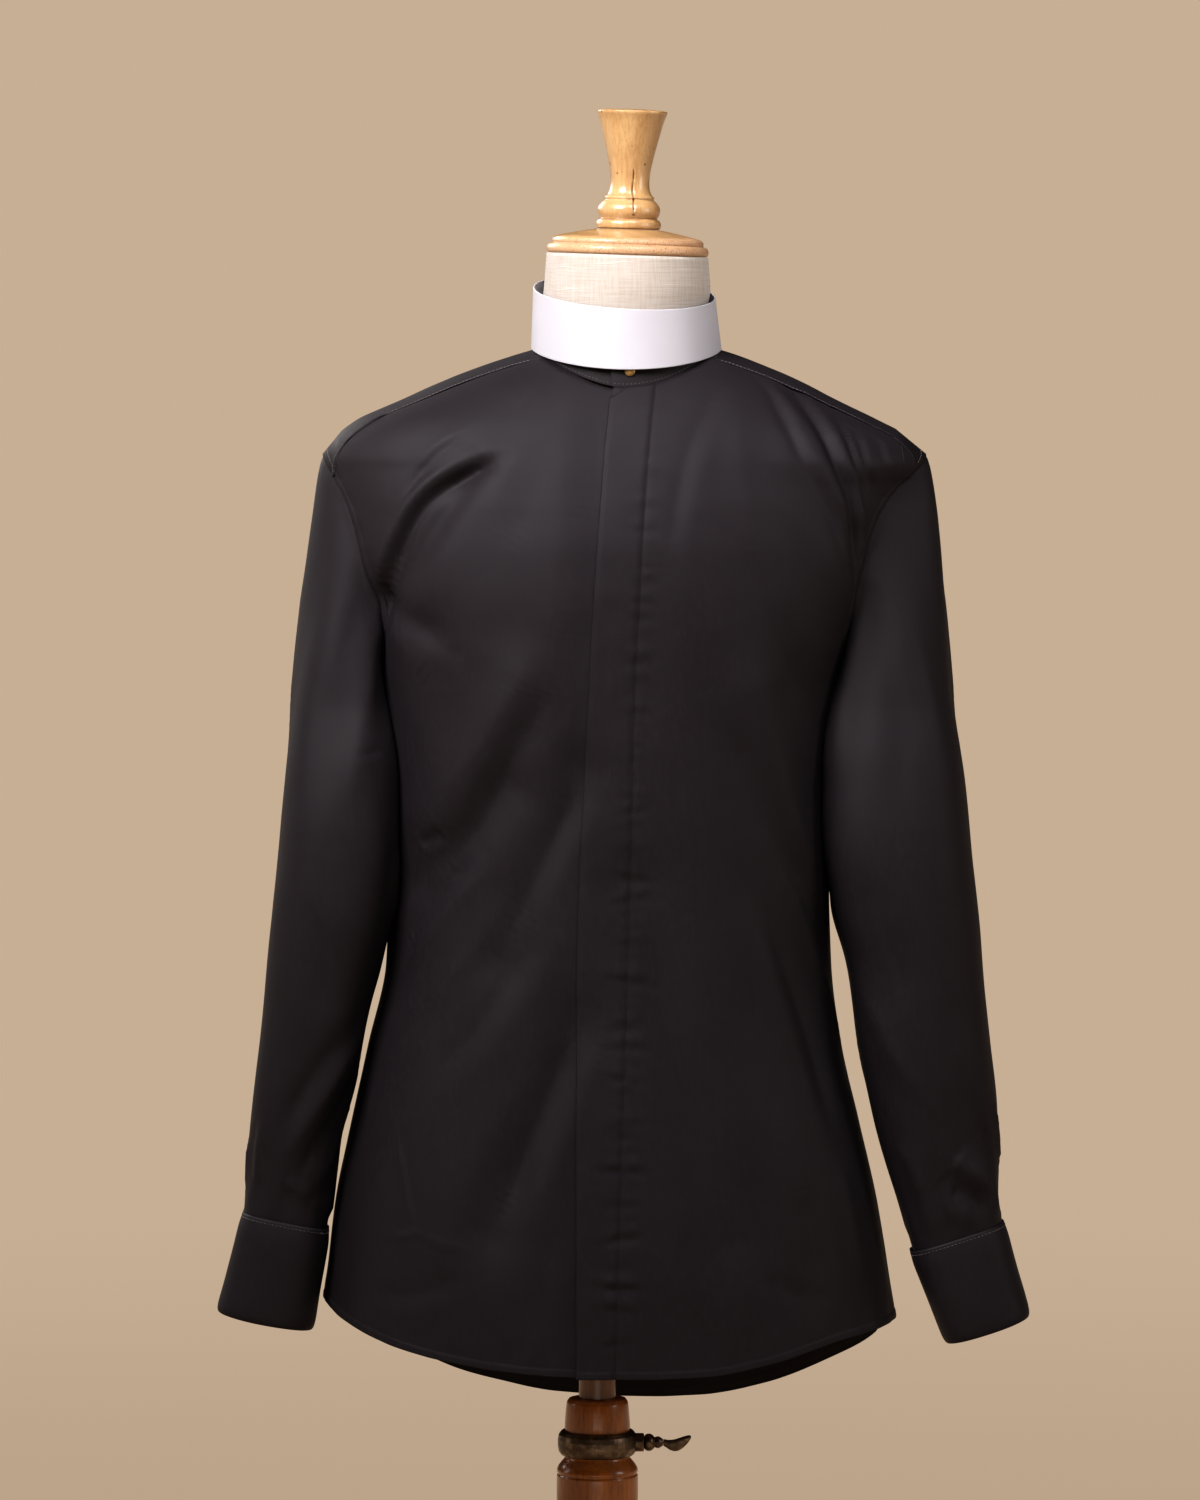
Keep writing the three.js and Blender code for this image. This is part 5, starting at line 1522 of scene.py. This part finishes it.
class Shader:
    def __init__(self, name, **uniform):
        self.material = bpy.data.materials.new(name)
        self.material.use_nodes = True
        self.tree = self.material.node_tree
        self.surface = self.tree.nodes["Principled BSDF"]
        self.place = Wire(self, self.tree.nodes.new("ShaderNodeTexCoord").outputs["Object"])
        for key, value in uniform.items():
            self.surface.inputs[key.replace("_", " ")].default_value = value

    def node(self, kind, settings, inputs, out=0):
        node = self.tree.nodes.new("ShaderNode" + kind)
        for key, value in settings.items():
            setattr(node, key, value)
        for key, value in inputs.items():
            if isinstance(value, Wire):
                self.tree.links.new(value.socket, node.inputs[key])
            else:
                node.inputs[key].default_value = value
        return Wire(self, node.outputs[out])

    def noise(self, place, scale, detail=2.0, rough=0.5):
        inputs = {"Vector": place, "Scale": scale, "Detail": detail, "Roughness": rough}
        return self.node("TexNoise", {}, inputs)

    def blend(self, first, second, share):
        colours = [c if isinstance(c, Wire) else (*c, 1.0) for c in (first, second)]
        inputs = {0: share, 6: colours[0], 7: colours[1]}
        return self.node("Mix", {"data_type": "RGBA", "clamp_factor": True}, inputs, 2)

    def bump(self, height, distance, strength=1.0):
        return self.node("Bump", {}, {"Height": height, "Distance": distance, "Strength": strength})

    def feed(self, **wires):
        for key, wire in wires.items():
            self.tree.links.new(wire.socket, self.surface.inputs[key.replace("_", " ")])
        return self.material


# Plain weave from the cloth's own map, in metres: threads over and under at one pitch.
def weave(shader, pitch):
    across, down, _ = shader.node("UVMap", {"uv_map": "cloth"}, {}).split()
    return (across * (math.pi / pitch)).maths("SINE") * (down * (math.pi / pitch)).maths("SINE")


def makeShirting():
    cloth = Shader("blackShirting", Specular_IOR_Level=0.15)
    over = weave(cloth, 0.00034)
    patch = cloth.noise(cloth.place, 9, 3)
    fine = cloth.noise(cloth.place.scaled((1, 1, 0.35)), 420, 2)
    lint = cloth.noise(cloth.place, 900, 1).between(0.8, 0.86)
    colour = cloth.blend((0.0088, 0.0068, 0.0086), (0.0118, 0.0094, 0.0116), patch)
    colour = cloth.blend(colour, (0.018, 0.0148, 0.0172), fine.between(0.35, 0.85) * 0.35)
    colour = cloth.blend(colour, (0.07, 0.062, 0.06), lint * 0.25)
    rough = fine.between(0.2, 0.8, 0.56, 0.66)
    return cloth.feed(Base_Color=colour, Roughness=rough,
                      Normal=cloth.bump(over * 0.4 + fine, 0.00006, 0.6))


def makeThreadPaintedSheen():
    thread = Shader("threadPaintedSheen", Roughness=0.42, Specular_IOR_Level=0.6, Sheen_Weight=0.2)
    twist = thread.noise(thread.place, 700, 1)
    # painted sheen: both greys are lighter than the black thread really is, and stand for its glossy
    # highlights
    return thread.feed(Base_Color=thread.blend((0.10, 0.085, 0.09), (0.16, 0.136, 0.144), twist))


def makeCollarLinen():
    cloth = Shader("collarLinen", Sheen_Weight=0.1, Specular_IOR_Level=0.5)
    over = weave(cloth, 0.0004)
    soft = cloth.noise(cloth.place, 30, 2)
    colour = cloth.blend((0.345, 0.334, 0.37), (0.372, 0.366, 0.396), soft)
    return cloth.feed(Base_Color=colour, Roughness=soft.between(0.2, 0.8, 0.42, 0.55),
                      Normal=cloth.bump(over, 0.00003, 0.4))


def makeFormLinen():
    cloth = Shader("formLinen", Sheen_Weight=0.15, Specular_IOR_Level=0.3)
    x, y, z = cloth.place.split()
    # round the neck and up it, in metres, with the joint at the centre back
    around = cloth.node("Math", {"operation": "ARCTAN2"}, {0: x, 1: y * -1}) * 0.058
    place = cloth.node("CombineXYZ", {}, {0: around, 1: z, 2: 0.0})
    warp = cloth.noise(place.scaled((760, 46, 1)), 1, 2, 0.5)
    weft = cloth.noise(place.scaled((40, 800, 1)), 1, 2, 0.5)
    slub = cloth.noise(place.scaled((26, 360, 1)), 1, 2).between(0.6, 0.78)
    soil = cloth.noise(cloth.place, 22, 4)
    streak = cloth.noise(place.scaled((240, 9, 1)), 1, 2)
    colour = cloth.blend((0.375, 0.338, 0.308), (0.338, 0.29, 0.25), soil.between(0.35, 0.75) * 0.5)
    colour = cloth.blend(colour, (0.32, 0.26, 0.205), streak.between(0.5, 0.72) * 0.35)
    threads = warp + weft
    colour = cloth.blend(colour, (0.26, 0.215, 0.165), threads.between(0.7, 1.15, 0.4, 0.0))
    colour = cloth.blend(colour, (0.48, 0.44, 0.39), slub * 0.5)
    return cloth.feed(Base_Color=colour, Roughness=threads.between(0.5, 1.5, 0.95, 0.8),
                      Normal=cloth.bump(threads + slub, 0.0003, 0.7))


# Turned wood. The grain runs along one axis, and the year rings are cut lengthways into long flames.
def makeWood(name, light, dark, pore, axis, grain="z", glow=0.4):
    wood = Shader(name, Coat_Weight=0.35, Coat_Roughness=0.14, Specular_IOR_Level=0.45)
    place = wood.node("VectorMath", {"operation": "SUBTRACT"}, {0: wood.place, 1: [v * mm for v in axis]})
    squeeze = {"z": (1, 1, 0.1), "x": (0.1, 1, 1)}[grain]
    bent = wood.noise(place.scaled(tuple(0.35 + 0.65 * v for v in squeeze)), 17, 3, 0.55)
    x, y, z = place.split()
    across = (x * 0.72 + y * 0.69) if grain == "z" else (y * 0.8 + z * 0.6)
    rings = (across * 330 + bent * 9.0).maths("SINE").between(-0.9, 1)
    streaks = wood.noise(place.scaled(squeeze), 520, 3, 0.6)
    tighter = tuple(0.4 * v if v < 1 else v for v in squeeze)
    pores = wood.noise(place.scaled(tighter), 1500, 2, 0.5).between(0.6, 0.72)
    stain = wood.noise(place, 30, 3).between(0.3, 0.7)
    colour = wood.blend(light, dark, rings * glow + streaks.between(0.35, 0.7) * 0.5)
    colour = wood.blend(colour, dark, stain * 0.35)
    colour = wood.blend(colour, pore, pores * 0.5)
    return wood, place, colour, streaks, pores, stain


def makeHoneyWood():
    wood, place, colour, streaks, pores, stain = makeWood(
        "honeyWood", (0.425, 0.27, 0.125), (0.30, 0.158, 0.062), (0.13, 0.058, 0.020), form["capPlace"])
    _, _, z = place.split()
    # the end grain of the cap's rim and steps is duller and speckled
    rim = z.between(0.0105, 0.014, 1.0, 0.0)
    speckle = wood.noise(place.scaled((1, 1, 0.5)), 1100, 2).between(0.5, 0.66)
    ends = wood.blend((0.44, 0.265, 0.16), (0.20, 0.10, 0.05), speckle)
    colour = wood.blend(colour, ends, rim * 0.62)
    # wormholes and small knocks on the finial's shank
    holes = wood.node("TexVoronoi", {"feature": "F1"}, {"Vector": place.scaled((1, 1, 0.8)), "Scale": 175.0})
    few = wood.noise(place, 85, 1).between(0.57, 0.61) * z.between(0.050, 0.056)
    worm = holes.between(0.10, 0.17, 1.0, 0.0) * few
    colour = wood.blend(colour, (0.07, 0.03, 0.012), worm)
    # painted shade: the groove round the finial at 26.8 mm is painted darker
    grooveShade = (z - 0.0268).maths("ABSOLUTE").between(0.0002, 0.0011, 1.0, 0.0)
    colour = wood.blend(colour, (0.16, 0.06, 0.02), grooveShade * 0.7)
    height = streaks + pores * -1 + worm * -4
    return wood.feed(Base_Color=colour, Roughness=stain * 0.1 + rim * 0.25 + 0.28,
                     Normal=wood.bump(height, 0.00015, 0.5))


def makeDarkWood(name, light, dark, grain):
    wood, _, colour, streaks, pores, stain = makeWood(
        name, light, dark, (0.025, 0.009, 0.004), (0, 0, 0), grain, 0.3)
    return wood.feed(Base_Color=colour, Roughness=stain.between(0, 1, 0.26, 0.38),
                     Normal=wood.bump(streaks + pores * -1, 0.0001, 0.4))


def makeMetal(name, dark, worn, low, high):
    metal = Shader(name, Metallic=1.0)
    patina = metal.noise(metal.place, 160, 4, 0.6).between(0.4, 0.72)
    pits = metal.noise(metal.place, 900, 2)
    colour = metal.blend(dark, worn, patina)
    return metal.feed(Base_Color=colour, Roughness=patina.between(0, 1, high, low),
                      Normal=metal.bump(pits, 0.0001, 0.4))


reddish = (0.42, 0.140, 0.022), (0.17, 0.048, 0.009)
materials = {
    "shirting": makeShirting(),
    "collar_linen": makeCollarLinen(),
    "form_linen": makeFormLinen(),
    "honey_wood": makeHoneyWood(),
    "dark_wood": makeDarkWood("darkWood", *reddish, "z"),
    "dark_bronze": makeMetal("darkBronze", (0.095, 0.068, 0.048), (0.22, 0.16, 0.11), 0.32, 0.44),
    "brass": makeMetal("studBrass", (0.36, 0.24, 0.09), (0.62, 0.44, 0.19), 0.3, 0.42),
}
ownMaterials = {
    pole: makeDarkWood("poleWood", (0.20, 0.083, 0.032), (0.11, 0.042, 0.015), "z"),
    foot: makeDarkWood("footWood", *reddish, "x"),
    topstitching: makeThreadPaintedSheen(),
}

# Every piece: the solid it stands for, the body it rides on and its material slot.
plan = [
    (frontRightPanel, "front_right", "form", "shirting"),
    (frontLeftPanel, "front_left", "form", "shirting"),
    (placketStrip, "placket", "form", "shirting"),
    (backPanel, "back", "form", "shirting"),
    (yokePanel, "yoke", "form", "shirting"),
    (sleeveRightPiece, "sleeve_right", "form", "shirting"),
    (sleeveLeftPiece, "sleeve_left", "form", "shirting"),
    (cuffRightPiece, "cuff_right", "form", "shirting"),
    (cuffLeftPiece, "cuff_left", "form", "shirting"),
    (neckbandPiece, "neckband", "form", "shirting"),
    (topstitching, None, "form", "shirting"),
    (collarPiece, "collar", "form", "collar_linen"),
    (studFront, "collar_stud_front", "form", "brass"),
    (studBack, "collar_stud_back", "form", "brass"),
    (formBody, "form_body", "form", "form_linen"),
    (neckCap, "neck_cap", "form", "honey_wood"),
    (finial, "finial", "form", "honey_wood"),
    (pole, "pole", "pole", "dark_wood"),
    (column, "column", "stand", "dark_wood"),
    (foot, "foot", "stand", "dark_wood"),
    (clampRing, "clamp_ring", "stand", "dark_bronze"),
    (clampScrew, "clamp_screw", "screw", "dark_bronze"),
]
for piece, node, body, slotName in plan:
    piece.data.materials.clear()
    piece.data.materials.append(ownMaterials.get(piece, materials[slotName]))
    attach(piece, body)
    if node:
        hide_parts(node)

# The sheets of cloth: their size when flat, their area where it isn't a rectangle's, how they are held
# and what they lie on. Sizes are in metres and square metres.
cuts = [
    (frontRightPanel, (0.30, 0.78), 0.19, "draped", [formBody]),
    (frontLeftPanel, (0.30, 0.78), 0.19, "draped", [formBody]),
    (placketStrip, (0.040, 0.73), None, "draped", [frontLeftPanel]),
    (backPanel, (0.52, 0.76), 0.36, "draped", [formBody]),
    (yokePanel, (0.47, 0.22), 0.075, "draped", [formBody]),
    (sleeveRightPiece, (0.42, 0.61), 0.18, "hung", [frontRightPanel, backPanel, yokePanel]),
    (sleeveLeftPiece, (0.42, 0.61), 0.18, "hung", [frontLeftPanel, backPanel, yokePanel]),
    (cuffRightPiece, (0.25, 0.16), None, "folded", [sleeveRightPiece]),
    (cuffLeftPiece, (0.25, 0.16), None, "folded", [sleeveLeftPiece]),
    (neckbandPiece, (0.48, 0.036), None, "draped", [frontLeftPanel, yokePanel]),
    (collarPiece, (0.47, 0.046), None, "draped", [neckbandPiece]),
]
for piece, flat, area, held, under in cuts:
    measured = sum(face.area for face in piece.data.polygons) / 2
    print("sheet", piece.name, round(measured, 4), round(measured / (area or flat[0] * flat[1]), 2))
    [topstitching] if piece == frontLeftPanel else ()


# The studio: a wide pale floor that fades into the same colour as the space around it.
studio = {
    "colour": (0.50, 0.385, 0.28),
    "floor": (0.68, 0.48, 0.28),
    "grain": (0.73, 0.52, 0.31),
    "radius": 60.0,
    "fadeFrom": 0.8,
    "fadeTo": 6.0,
    "glow": 0.7,
    "sky": (0.86, 0.80, 0.74),
    "ambient": 0.024,
    "lights": [  # name, place, aim, size, power, spread, colour
        ("keyLight", (-0.9, -1.05, 2.4), (0, 0, 1.36), (0.85, 0.85), 10.5, 66, (1.0, 0.97, 0.97)),
        ("topLight", (0.35, -0.95, 2.55), (0, 0, 1.38), (0.8, 0.8), 3.2, 66, (1.0, 0.97, 0.97)),
        ("rightLight", (2.4, -0.9, 1.8), (0, 0, 1.2), (0.6, 1.4), 18, 180, (1.0, 0.95, 0.92)),
        ("leftLight", (-2.4, 0.5, 1.6), (0, 0, 1.1), (0.6, 1.6), 5, 180, (1.0, 0.95, 0.92)),
        ("lowLight", (0.0, -3.0, 0.35), (0, 0, 0.9), (1.6, 0.4), 2.8, 180, (1.0, 0.94, 0.88)),
        ("backLight", (-1.7, 2.1, 2.3), (0, 0, 1.05), (1.6, 1.2), 34, 180, (1.0, 0.96, 0.92)),
    ],
    "camera": (0.002, -5.5, 1.471),
    "tilt": 3.86,
    "lens": 220,
}


def makeFloor():
    bpy.ops.object.select_all(action="DESELECT")
    bpy.ops.mesh.primitive_circle_add(vertices=96, radius=studio["radius"], fill_type="NGON",
                                      location=(0, 0, 0))
    floor = bpy.context.object
    floor.name = "studioFloor"
    paper = Shader("floorPaper", Roughness=0.95, Specular_IOR_Level=0.05)
    x, y, _ = paper.place.split()
    away = (x * x + y * y).maths("SQRT")
    grain = paper.noise(paper.place, 140, 2)
    paper.feed(Base_Color=paper.blend(studio["floor"], studio["grain"], grain))
    far = paper.node("Emission", {}, {"Color": (*studio["colour"], 1), "Strength": 1.0})
    share = away.between(studio["fadeFrom"], studio["fadeTo"], studio["glow"], 1)
    both = paper.node("MixShader", {}, {0: share, 1: Wire(paper, paper.surface.outputs[0]), 2: far})
    paper.tree.links.new(both.socket, paper.tree.nodes["Material Output"].inputs["Surface"])
    floor.data.materials.append(paper.material)


def makeLight(name, place, aim, size, power, spread, colour):
    light = bpy.data.lights.new(name, "AREA")
    light.shape, light.size, light.size_y = "RECTANGLE", *size
    light.energy, light.color = power, colour
    light.spread = math.radians(spread)
    lamp = bpy.data.objects.new(name, light)
    lamp.location = place
    lamp.visible_camera = False
    lamp.rotation_euler = (Vector(aim) - Vector(place)).to_track_quat("-Z", "Y").to_euler()
    bpy.context.collection.objects.link(lamp)


def makeSky():
    world = bpy.data.worlds.new("studioSky")
    world.use_nodes = True
    tree = world.node_tree
    shown = tree.nodes["Background"]
    shown.inputs["Color"].default_value = (*studio["colour"], 1)
    lighting = tree.nodes.new("ShaderNodeBackground")
    lighting.inputs["Color"].default_value = (*studio["sky"], 1)
    lighting.inputs["Strength"].default_value = studio["ambient"]
    ray = tree.nodes.new("ShaderNodeLightPath")
    both = tree.nodes.new("ShaderNodeMixShader")
    tree.links.new(ray.outputs["Is Camera Ray"], both.inputs[0])
    tree.links.new(lighting.outputs[0], both.inputs[1])
    tree.links.new(shown.outputs[0], both.inputs[2])
    tree.links.new(both.outputs[0], tree.nodes["World Output"].inputs["Surface"])
    bpy.context.scene.world = world


def makeCamera():
    eye = bpy.data.cameras.new("camera")
    eye.lens, eye.sensor_width, eye.sensor_fit = studio["lens"], 36, "HORIZONTAL"
    camera = bpy.data.objects.new("camera", eye)
    camera.location = studio["camera"]
    camera.rotation_euler = (math.radians(90 - studio["tilt"]), 0, 0)
    bpy.context.collection.objects.link(camera)
    bpy.context.scene.camera = camera


makeFloor()
makeSky()
for light in studio["lights"]:
    makeLight(*light)
makeCamera()
bpy.context.scene.view_settings.view_transform = "Standard"
bpy.context.scene.view_settings.look = "Medium High Contrast"

triangles = {piece.name: sum(len(face.vertices) - 2 for face in piece.data.polygons) for piece, *_ in plan}
print("triangles", sum(triangles.values()), triangles)
print("scene made")
